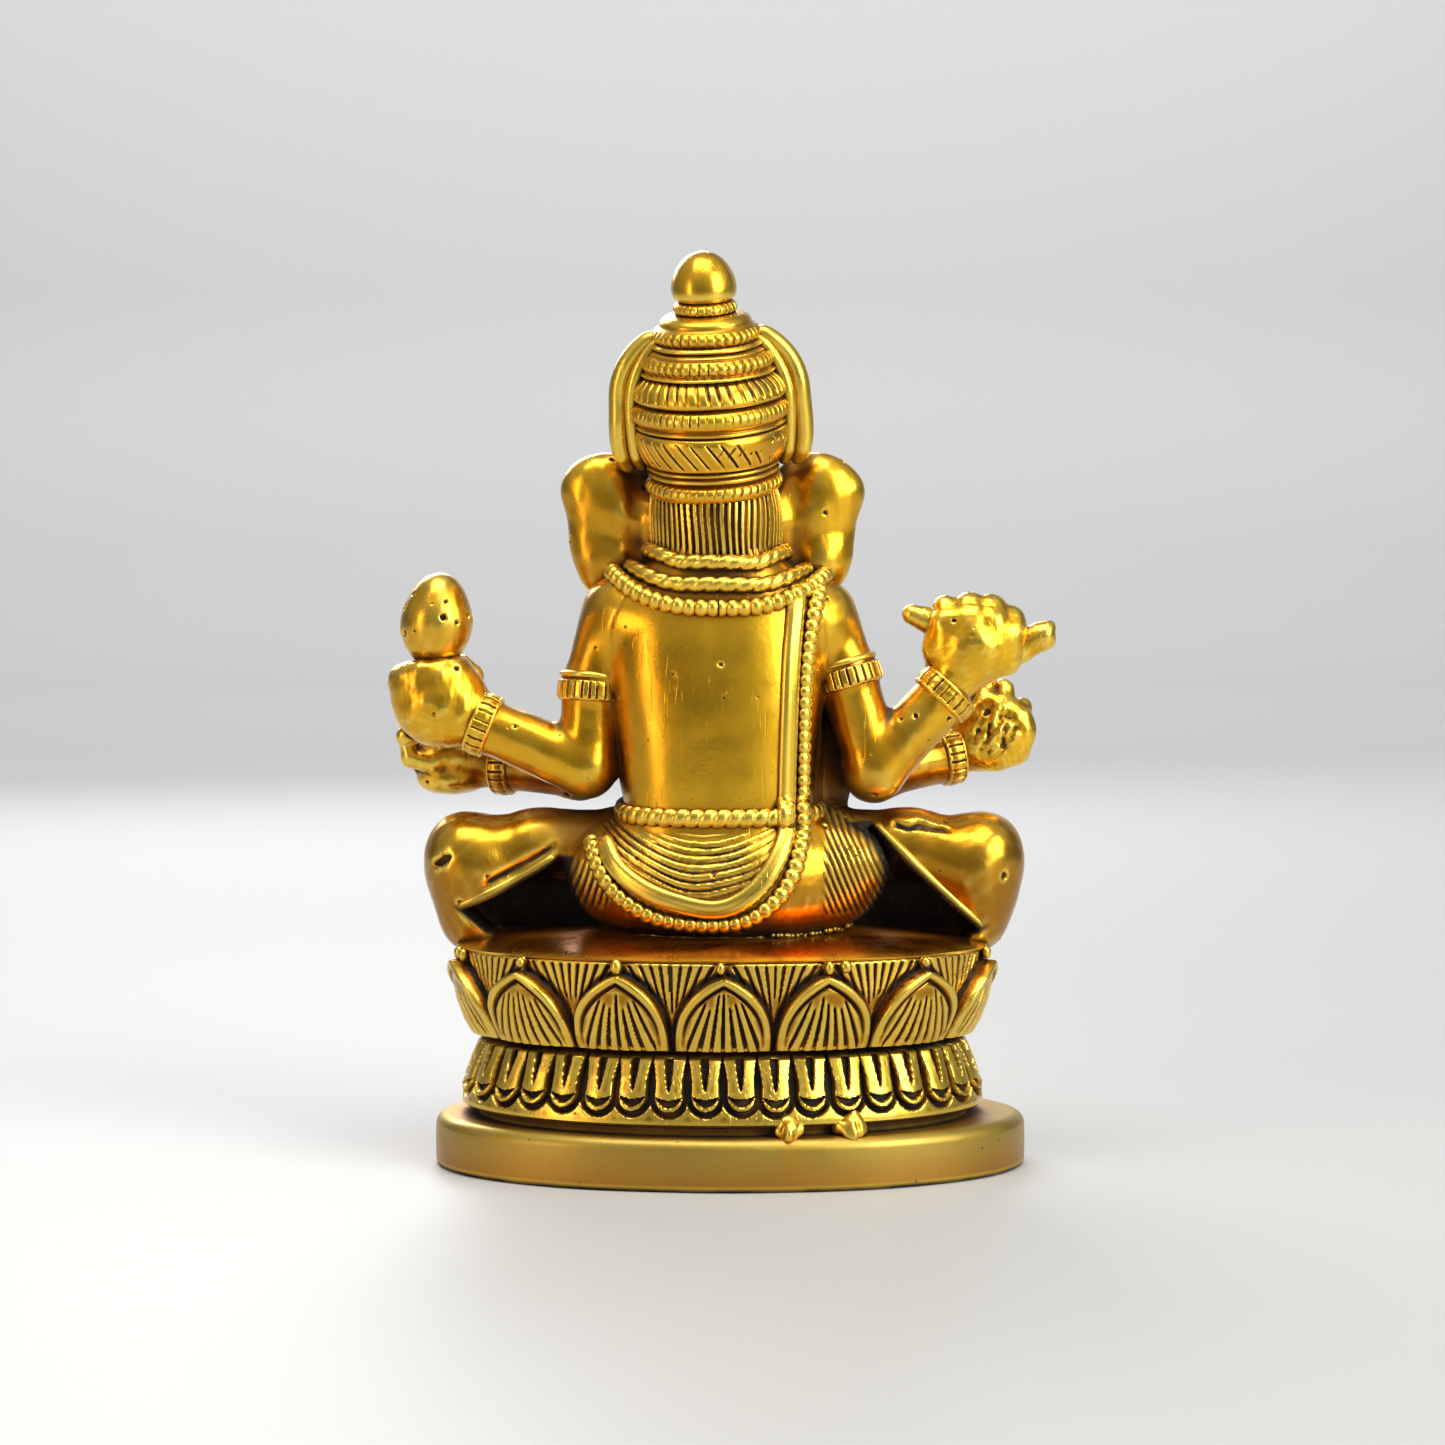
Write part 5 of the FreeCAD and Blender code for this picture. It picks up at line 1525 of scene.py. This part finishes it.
def rear_right_hand_field(points):
    """A fist round the rod, seen from the back of the hand, its knuckles up."""
    palm = egg(points, (-40.2, 2.0, 86.2), (7.3, 4.9, 6.9), turn_about("y", 10))
    heel = bar(points, (-37.0, 2.2, 80.6), (-39.8, 2.0, 85.0), 4.4, 5.4)
    fingers = []
    for x, top in ((-35.4, 93.5), (-39.3, 93.9), (-43.1, 93.6), (-46.4, 91.8)):
        fingers.append([((x + 1.2 + 0.12 * (x + 40), 2.6, top - 8.6), 1.0), ((x, 3.1, top - 4.2), 1.08),
                        ((x, 1.6, top - 2.0), 1.06), ((x, -2.2, top - 2.6), 0.98),
                        ((x + 0.2, -3.6, top - 6.6), 0.95), ((x + 0.4, -2.2, top - 8.6), 0.9)])
    thumb = limb(points, [((-34.4, -0.6, 82.6), 2.2), ((-35.6, -4.4, 84.0), 2.0), ((-40.0, -5.4, 84.6), 1.7)],
                 0.6)
    return merged(palm, (heel, 2.5), (closed_fingers(points, fingers, 2.02, 0.45), 2.6), (thumb, 0.4))


def front_left_hand_field(points):
    """A hand held flat, palm up, under the bowl of sweets."""
    palm = egg(points, (47.0, -14.4, 66.4), (7.8, 6.0, 4.2))
    heel = bar(points, (40.6, -13.2, 65.2), (46.0, -14.4, 66.0), 4.0, 4.6)
    fingers = [[((50.0, -18.6 + 2.9 * n, 65.6), 1.0), ((53.6, -18.8 + 2.9 * n, 66.4), 0.98),
                ((54.4, -18.4 + 2.8 * n, 69.2), 0.86)] for n in range(4)]
    thumb = limb(points, [((43.6, -18.2, 66.0), 2.0), ((46.0, -20.6, 67.8), 1.8), ((48.4, -20.8, 69.0), 1.4)],
                 0.6)
    low = egg(points, (47.4, -13.6, 62.6), (5.6, 4.6, 2.6))
    return merged(palm, (heel, 2.0), (closed_fingers(points, fingers, 1.7, 0.35), 0.8), (thumb, 0.5),
                  (low, 1.6))


def front_right_hand_field(points):
    """The raised hand that blesses: palm to the front, fingers together and up."""
    palm = egg(points, (-43.8, -13.4, 70.8), (6.6, 3.6, 6.8), turn_about("y", 10))
    heel = bar(points, (-38.4, -13.0, 67.4), (-43.0, -13.4, 69.6), 3.9, 4.2)
    fingers = []
    for x, top in ((-39.9, 78.4), (-43.2, 80.4), (-46.4, 79.4), (-49.4, 76.2)):
        fingers.append([((x + 0.6, -13.0, top - 9.0), 1.0), ((x, -12.6, top - 4.6), 1.02),
                        ((x - 0.2, -13.6, top - 1.4), 0.88)])
    thumb = limb(points, [((-38.4, -14.6, 69.6), 1.9), ((-36.8, -16.0, 73.0), 1.6)], 0.5)
    back = egg(points, (-45.0, -11.4, 70.6), (6.6, 2.6, 6.4), turn_about("y", 10))
    return merged(palm, (heel, 2.0), (closed_fingers(points, fingers, 1.85, 0.3), 0.6), (thumb, 0.6),
                  (back, 1.6))


def hand_relief(seed):
    return lambda points, normals: cast_skin(points, 3.2, 0.10, seed)


def rough_hand_relief(points, normals):
    """The blessing hand's back is a poor casting, rough and pitted in the middle."""
    middle = np.hypot(points[:, 0] + 44.6, points[:, 2] - 71.0)
    rough = np.minimum(waves(points, 3.0, 51), 0.0) + np.minimum(waves(points, 1.6, 52), 0.0) * 0.5
    slanting = 1.9 * points[:, 0] + 1.3 * points[:, 2] + waves(points, 4.0, 53)
    wrinkles = -0.22 * step(0.3, 0.8, np.sin(slanting))
    where = step(5.6, 2.4, middle) * step(-0.2, 0.5, normals[:, 1])
    return (0.62 * rough + wrinkles) * where + cast_skin(points, 3.2, 0.12, 54)


def make_hands():
    """The four hands, each cut off where its wristband starts."""
    made = []
    settings = (("rear_left_hand", rear_left_hand_field, (38, -9, 67), (58, 9, 88), REAR_LEFT),
                ("rear_right_hand", rear_right_hand_field, (-51, -9, 76), (-30, 9, 97), REAR_RIGHT),
                ("front_left_hand", front_left_hand_field, (37, -24, 58), (58, -6, 73), FRONT_LEFT),
                ("front_right_hand", front_right_hand_field, (-54, -20, 60), (-33, -7, 83), FRONT_RIGHT))
    for number, (name, field, low, high, arm) in enumerate(settings):
        past_band = within_plane(field, arm["wrist"], toward(arm["elbow"], arm["wrist"]))
        relief = rough_hand_relief if name == "front_right_hand" else hand_relief(40 + number)
        hand = moulded(name + "_cast", past_band, low, high, 0.26, relief)
        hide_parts(name)
        made.append(hand)
    return made


def make_bud():
    """A closed lotus bud: a plain egg with a blunt tip, pitted round its middle."""
    centre = arr(48.2, 1.0, 89.8)
    turn = turn_about("y", -8).astype(np.float32)

    def field(points):
        local = (points - centre) @ turn
        whole = egg(local, (0, 0, -0.6), (5.95, 5.95, 7.2))
        tip = ball(local, (0, 0, 4.0), 3.5)
        return soft_min(whole, tip, 2.0)

    def relief(points, normals):
        height = (points - centre) @ turn[:, 2]
        many = pocks(points, 43, 2.4, 0.9) * step(4.5, 2.5, np.abs(height))
        return many + cast_skin(points, 6.0, 0.10, 42)

    bud = moulded("lotus_bud_cast", field, (40, -7, 81), (57, 9, 100), 0.20, relief)
    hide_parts("lotus_bud")
    return bud


def make_rod():
    """The short goad handle that passes through the fist, with a cast knob at each end."""
    def field(points):
        rod = limb(points, [((-30.2, 0.2, 90.6), 1.75), ((-32.2, 0.4, 89.8), 1.95), ((-34.4, 0.6, 88.4), 2.1),
                            ((-38.0, 1.0, 86.6), 2.0), ((-44.0, 1.2, 85.0), 2.2), ((-47.6, 1.8, 85.0), 2.3),
                            ((-51.2, 2.0, 87.0), 2.5)], 0.8)
        end = egg(points, (-51.8, 2.0, 87.4), (1.8, 2.5, 2.5), turn_about("y", -28))
        return soft_min(rod, end, 0.6)

    def relief(points, normals):
        x, y, z = points.T
        pit = -0.8 * np.exp(-((y - 2.0) ** 2 + (z - 87.6) ** 2) / 0.8) * step(-52.4, -53.2, x)
        return pit + cast_skin(points, 3.0, 0.12, 44)

    rod = moulded("goad_handle_cast", field, (-56, -3, 82), (-26, 6, 94), 0.20, relief)
    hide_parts("goad_handle")
    return rod


def make_sweets():
    """A small footed bowl with round sweets heaped in it."""
    centre = middle_of("sweets_bowl")
    low, high = (float(corner[2]) for corner in mm_box("sweets_bowl"))
    place = placer((centre[0], centre[1], 0.0), np.eye(3))
    corners = [(2.6, low), (3.1, low + 0.3), (3.2, low + 0.8), (4.3, low + 1.6), (5.5, low + 2.9),
               (6.0, high - 1.1), (6.3, high - 0.8), (6.35, high - 0.2), (6.0, high)]

    def relief(turn, height, radius):
        flutes = cuts(turn, 24, 0.30, 0.22, 45) * window(height, low + 2.2, high - 1.4, 0.2)
        return flutes + uneven(turn, 46, 0.08)

    bowl = turned("sweets_bowl_cast", corners, relief, 420, spacing=0.14, inner=1.0, place=place)
    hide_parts("sweets_bowl")
    heap = [((0.0, 0.0, high + 2.1), 2.5)]
    for at in range(6):
        angle = at * math.pi / 3 + 0.3
        heap.append(((3.3 * math.cos(angle), 3.3 * math.sin(angle), high + 0.3), 2.15))

    def field(points):
        local = points - arr(centre[0], centre[1], 0.0)
        total = ball(local, (0, 0, high - 0.8), 3.6)
        for place_of, radius in heap:
            total = soft_min(total, ball(local, place_of, radius), 0.3)
        return np.maximum(total, (high - 1.6) - local[:, 2])

    low_corner = (centre[0] - 8, centre[1] - 8, high - 3)
    high_corner = (centre[0] + 8, centre[1] + 8, high + 6)
    sweets = moulded("sweets_cast", field, low_corner, high_corner, 0.24, plain_relief(47, 2.5, 0.10))
    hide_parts("sweets")
    return [bowl, sweets]


def foot_field(points, sign):
    """A bare foot on its outer edge in front of the shins, its toes past the middle."""
    rise, forward = (0.0, -1.2) if sign > 0 else (4.7, 0.6)
    own = side_view(points, sign) - arr(0.0, forward, rise)
    heel = egg(own, (8.6, -20.2, 41.9), (4.6, 4.2, 3.7))
    arch = bar(own, (8.0, -21.2, 42.3), (-3.6, -22.4, 42.0), 3.0, 2.6)
    ball_of_foot = egg(own, (-4.2, -22.4, 41.9), (4.0, 2.7, 3.8))
    total = merged(heel, (arch, 1.5), (ball_of_foot, 1.8))
    for toe in range(5):
        height = 44.3 - 1.32 * toe - (0.45 if toe else 0.0)
        size = 0.92 if toe else 1.35
        tip = -10.6 + 0.55 * toe
        bend = (0.5 * (tip - 7.0), -23.9, height)
        total = soft_min(total, limb(own, [((-6.0, -22.8, height), size), (bend, size * 0.92),
                                           ((tip, -23.0, height - 0.1), size * 1.08)], 0.3), 0.3)
    return total


def make_feet():
    """Both crossed feet, the right one on top."""
    made = []
    for side, sign in (("left", 1), ("right", -1)):
        low, high = mm_box(side + "_foot")
        foot = moulded(side + "_foot_cast", lambda p, s=sign: foot_field(p, s), low - 5, high + 5, 0.22,
                       lambda points, normals: cast_skin(points, 3.5, 0.06, 48, 0.1))
        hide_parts(side + "_foot")
        made.append(foot)
    return made


# ================================================================ materials

def brass_material(name="aged_brass", satin=0.0, ruddy=0.0):
    """Cast brass: polished where hands and cloth reach, with brown to black patina in engraved lines and
    pits, and painted shade in sheltered creases and deep hollows.

    Satin dulls it. Ruddy reddens it and leaves less black on it.
    """
    material = bpy.data.materials.new(name)
    material.use_nodes = True
    nodes, links = material.node_tree.nodes, material.node_tree.links
    nodes.clear()

    def node(kind, **inputs):
        made = nodes.new(kind)
        for key, value in inputs.items():
            made.inputs[key.replace("_", " ")].default_value = value
        return made

    def blend(first, second, share, mode="MIX"):
        mixer = nodes.new("ShaderNodeMix")
        mixer.data_type = "RGBA"
        mixer.blend_type = mode
        for at, value in ((6, first), (7, second), (0, share)):
            if hasattr(value, "is_linked"):
                links.new(value, mixer.inputs[at])
            else:
                mixer.inputs[at].default_value = value
        return mixer.outputs[2]

    def spread(value, low, high, out_low=0.0, out_high=1.0):
        ranged = nodes.new("ShaderNodeMapRange")
        ranged.interpolation_type = "SMOOTHSTEP"
        links.new(value, ranged.inputs["Value"])
        ranged.inputs["From Min"].default_value = low
        ranged.inputs["From Max"].default_value = high
        ranged.inputs["To Min"].default_value = out_low
        ranged.inputs["To Max"].default_value = out_high
        return ranged.outputs["Result"]

    def math_node(operation, first, second):
        made = nodes.new("ShaderNodeMath")
        made.operation = operation
        for at, value in enumerate((first, second)):
            if hasattr(value, "is_linked"):
                links.new(value, made.inputs[at])
            else:
                made.inputs[at].default_value = value
        return made.outputs[0]

    where = nodes.new("ShaderNodeTexCoord").outputs["Object"]

    def noise(scale, detail=4.0, roughness=0.55, along=where):
        made = node("ShaderNodeTexNoise", Scale=scale, Detail=detail, Roughness=roughness)
        links.new(along, made.inputs["Vector"])
        return made.outputs["Fac"]

    hollow = nodes.new("ShaderNodeAttribute")
    hollow.attribute_name = "hollow"
    hollow = hollow.outputs["Fac"]
    painted_shade = nodes.new("ShaderNodeAttribute")
    painted_shade.attribute_name = "painted_shade"
    shelter = nodes.new("ShaderNodeAmbientOcclusion")
    shelter.samples = 8
    shelter.inputs["Distance"].default_value = 4.0 * MM
    open_sky = shelter.outputs["AO"]
    cave = nodes.new("ShaderNodeAmbientOcclusion")
    cave.samples = 8
    cave.inputs["Distance"].default_value = 15.0 * MM
    wide_sky = cave.outputs["AO"]

    # patina deep in engraved lines; painted shade in sheltered corners, deep hollows and under the thighs;
    # broken up by the casting's grain
    blotches = noise(160.0)
    grain = noise(1500.0, 3.0)
    in_lines = spread(hollow, 0.10, 0.75)
    # patina and painted shade: darker where little open sky reaches within 4 mm, in creases and between parts
    sheltered = spread(open_sky, 0.68, 0.20)
    # painted shade: darker in deep hollows and between parts, from occlusion within 15 mm
    painted_deep_shade = spread(wide_sky, 0.52, 0.16)
    patina_and_shade = math_node("MAXIMUM", math_node("MAXIMUM", in_lines, sheltered), painted_deep_shade)
    patina_and_shade = math_node("MULTIPLY", patina_and_shade, spread(blotches, 0.25, 0.6, 0.75, 1.0))
    # painted shade under the thighs and in the corners by the hips, broken up by the casting's grain
    grained_painted_shade = math_node("MULTIPLY", painted_shade.outputs["Fac"], spread(grain, 0.66, 0.54, 0.9, 1.0))
    patina_and_shade = math_node("MAXIMUM", patina_and_shade, grained_painted_shade)
    pits = node("ShaderNodeTexVoronoi", Scale=520.0, Randomness=1.0)
    links.new(where, pits.inputs["Vector"])
    pit_share = spread(pits.outputs["Distance"], 0.17, 0.07)
    rare = spread(noise(150.0, 2.0), 0.60, 0.66)
    pit_share = math_node("MULTIPLY", pit_share, rare)
    patina_shade_and_pits = math_node("MAXIMUM", patina_and_shade, math_node("MULTIPLY", pit_share, 0.8))
    patina_shade_and_pits = math_node("MULTIPLY", patina_shade_and_pits, 1.0 - 0.55 * ruddy)

    bright = blend((0.80, 0.45, 0.016, 1), (0.70, 0.34, 0.006, 1), spread(noise(30.0), 0.30, 0.70))
    bright = blend(bright, (0.44, 0.19, 0.004, 1), spread(noise(26.0, 3.0), 0.50, 0.66, 0.0, 0.55))
    # browner from the knees down to the lotus bowl, less so from the petal ring down
    split = nodes.new("ShaderNodeSeparateXYZ")
    links.new(where, split.inputs[0])
    below_lap = spread(split.outputs["Z"], 62 * MM, 44 * MM)
    above_ring = spread(split.outputs["Z"], 21 * MM, 27 * MM, 0.45, 0.90)
    bright = blend(bright, (0.34, 0.14, 0.003, 1), math_node("MULTIPLY", below_lap, above_ring))
    bright = blend(bright, (0.43, 0.318, 0.066, 1), satin * 5)
    tarnish = blend(bright, (0.52, 0.25, 0.010, 1), spread(noise(95.0, 5.0), 0.54, 0.80, 0.0, 0.30 + satin))
    # painted shade: amber where the surroundings within 15 mm shelter the surface
    amber_shade = blend(tarnish, (0.42, 0.13, 0.003, 1), spread(wide_sky, 0.85, 0.30, 0.0, 0.95))
    amber_shade = blend(amber_shade, (0.85, 0.25, 0.005, 1), ruddy)
    worn = blend(amber_shade, (0.94, 0.68, 0.10, 1), spread(hollow, -0.12, -0.7, 0.0, 0.7))
    # the brown to black of patina and painted shade, blacker where the mask is strongest
    brown = blend((0.055, 0.015, 0.001, 1), (0.005, 0.002, 0.001, 1), spread(patina_and_shade, 0.50, 0.85))
    colour = blend(worn, brown, patina_shade_and_pits)

    shader = nodes.new("ShaderNodeBsdfPrincipled")
    links.new(colour, shader.inputs["Base Color"])
    metal = spread(patina_shade_and_pits, 0.25, 1.0, 1.0, 0.25)
    links.new(metal, shader.inputs["Metallic"])
    polish = spread(blotches, 0.3, 0.7, 0.25 + satin, 0.33 + satin)
    rough = math_node("ADD", polish, math_node("MULTIPLY", patina_shade_and_pits, 0.40))
    links.new(rough, shader.inputs["Roughness"])
    # a thin hand-rubbed film: its highlights are pale
    links.new(spread(patina_shade_and_pits, 0.2, 0.8, 0.30, 0.0), shader.inputs["Coat Weight"])
    shader.inputs["Coat Roughness"].default_value = 0.22

    # fine scratches from polishing, long in one slanting direction
    stretched = nodes.new("ShaderNodeMapping")
    stretched.inputs["Rotation"].default_value = (0.25, 0.35, 0.0)
    stretched.inputs["Scale"].default_value = (1.0, 1.0, 0.05)
    links.new(where, stretched.inputs["Vector"])
    scratches = spread(noise(1900.0, 2.0, along=stretched.outputs[0]), 0.60, 0.70)
    scratches = math_node("MULTIPLY", scratches, spread(noise(60.0, 2.0), 0.45, 0.62))

    height = math_node("ADD", math_node("MULTIPLY", grain, 0.25), math_node("MULTIPLY", noise(620.0), 0.6))
    height = math_node("SUBTRACT", height, math_node("MULTIPLY", scratches, 0.5))
    height = math_node("SUBTRACT", height, math_node("MULTIPLY", pit_share, 1.6))
    bump = nodes.new("ShaderNodeBump")
    bump.inputs["Strength"].default_value = 0.45
    bump.inputs["Distance"].default_value = 0.12 * MM
    links.new(height, bump.inputs["Height"])
    links.new(bump.outputs["Normal"], shader.inputs["Normal"])

    output = nodes.new("ShaderNodeOutputMaterial")
    links.new(shader.outputs["BSDF"], output.inputs["Surface"])
    return material


def floor_material():
    """Plain pale grey."""
    material = bpy.data.materials.new("pale_floor")
    material.use_nodes = True
    shader = material.node_tree.nodes["Principled BSDF"]
    shader.inputs["Base Color"].default_value = (0.50, 0.50, 0.51, 1)
    shader.inputs["Roughness"].default_value = 0.5
    return material


# ================================================================ stage

def make_stage():
    """A pale floor that curves up into a backdrop."""
    rows = []
    for y, z in ((6.0, 0.0), (-1.3, 0.0), (-1.52, 0.03), (-1.66, 0.12), (-1.72, 0.3), (-1.72, 3.0)):
        rows.append([(x, y, z) for x in (-5.0, 5.0)])
    mesh = bpy.data.meshes.new("floor")
    vertices = [point for row in rows for point in row]
    faces = [(2 * n, 2 * n + 1, 2 * n + 3, 2 * n + 2) for n in range(len(rows) - 1)]
    mesh.from_pydata(vertices, [], faces)
    mesh.shade_smooth()
    mesh.materials.append(floor_material())
    floor = bpy.data.objects.new("floor", mesh)
    bpy.context.scene.collection.objects.link(floor)


def aim(thing, target):
    """Turn a lamp so that it points at a target."""
    way = Vector(target) - thing.location
    thing.rotation_euler = way.to_track_quat("-Z", "Y").to_euler()


def soft_light(name, place, target, size, power, colour=(1, 1, 1)):
    data = bpy.data.lights.new(name, "AREA")
    data.shape = "RECTANGLE"
    data.size, data.size_y = size
    data.energy = power
    data.color = colour
    light = bpy.data.objects.new(name, data)
    bpy.context.scene.collection.objects.link(light)
    light.location = place
    aim(light, target)


def light_scene():
    """Five soft lamps and a plain studio world."""
    centre = (0.0, 0.0, 0.08)
    soft_light("key", (-0.66, 0.56, 0.50), centre, (0.50, 0.7), 7.6, (0.96, 1.0, 0.90))
    soft_light("fill", (0.80, 0.60, 0.22), centre, (0.22, 0.6), 2.0, (1.0, 0.71, 0.38))
    soft_light("top", (0.05, 0.25, 0.95), centre, (0.7, 0.5), 5.5, (1.0, 0.98, 0.94))
    soft_light("back", (0.25, -0.75, 0.55), centre, (0.6, 0.4), 4.5)
    soft_light("wall", (0.0, -0.95, 1.0), (0.0, -1.72, 0.35), (2.4, 0.5), 14.0)
    world = bpy.data.worlds.new("studio")
    world.use_nodes = True
    nodes, links = world.node_tree.nodes, world.node_tree.links
    # brighter above and dimmer around, so that the metal has something to reflect
    where = nodes.new("ShaderNodeTexCoord").outputs["Generated"]
    split = nodes.new("ShaderNodeSeparateXYZ")
    links.new(where, split.inputs[0])
    ramp = nodes.new("ShaderNodeMapRange")
    links.new(split.outputs["Z"], ramp.inputs["Value"])
    for name, value in (("From Min", -0.1), ("From Max", 0.8), ("To Min", 0.13), ("To Max", 0.66)):
        ramp.inputs[name].default_value = value
    nodes["Background"].inputs["Color"].default_value = (0.78, 0.79, 0.80, 1)
    links.new(ramp.outputs["Result"], nodes["Background"].inputs["Strength"])
    bpy.context.scene.world = world
    bpy.context.scene.view_settings.view_transform = "Standard"


def place_camera():
    """Behind the figure, a little above the middle and tilted down, to line up with the photo."""
    data = bpy.data.cameras.new("camera")
    data.sensor_width = 36.0
    data.lens = 80.0
    data.clip_start = 0.01
    camera = bpy.data.objects.new("camera", data)
    bpy.context.scene.collection.objects.link(camera)
    camera.location = (0.0012, 0.530, 0.095)
    tilt = math.radians(2.4)
    camera.rotation_euler = (math.pi / 2 - tilt, 0.0, math.pi)
    bpy.context.scene.camera = camera


# ================================================================ build

make_stage()
light_scene()
place_camera()

pieces = [make_plinth(), make_braze(), make_lower_ring(), make_bowl(), make_petal_knobs(), make_seat()]
pieces += [make_spatter(), make_seat_fillet()]
pieces += make_body() + make_hem_ridges() + [make_belt()] + make_garlands() + make_sash()
pieces += make_crown() + make_crown_loops() + [make_hair()] + make_ears() + make_head()
pieces += make_bands() + make_hands() + [make_bud(), make_rod()] + make_sweets() + make_feet()

BRASS = brass_material()
SATIN_BRASS = brass_material("satin_brass", 0.16)
SEAT_BRASS = brass_material("seat_brass", ruddy=0.8)
OWN_LOOK = {"plinth_cast": SATIN_BRASS, "seat_plate_cast": SEAT_BRASS}
for piece in pieces:
    piece.data.materials.append(OWN_LOOK.get(piece.name, BRASS))
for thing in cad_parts.values():
    for material_slot in thing.material_slots:
        material_slot.material = BRASS
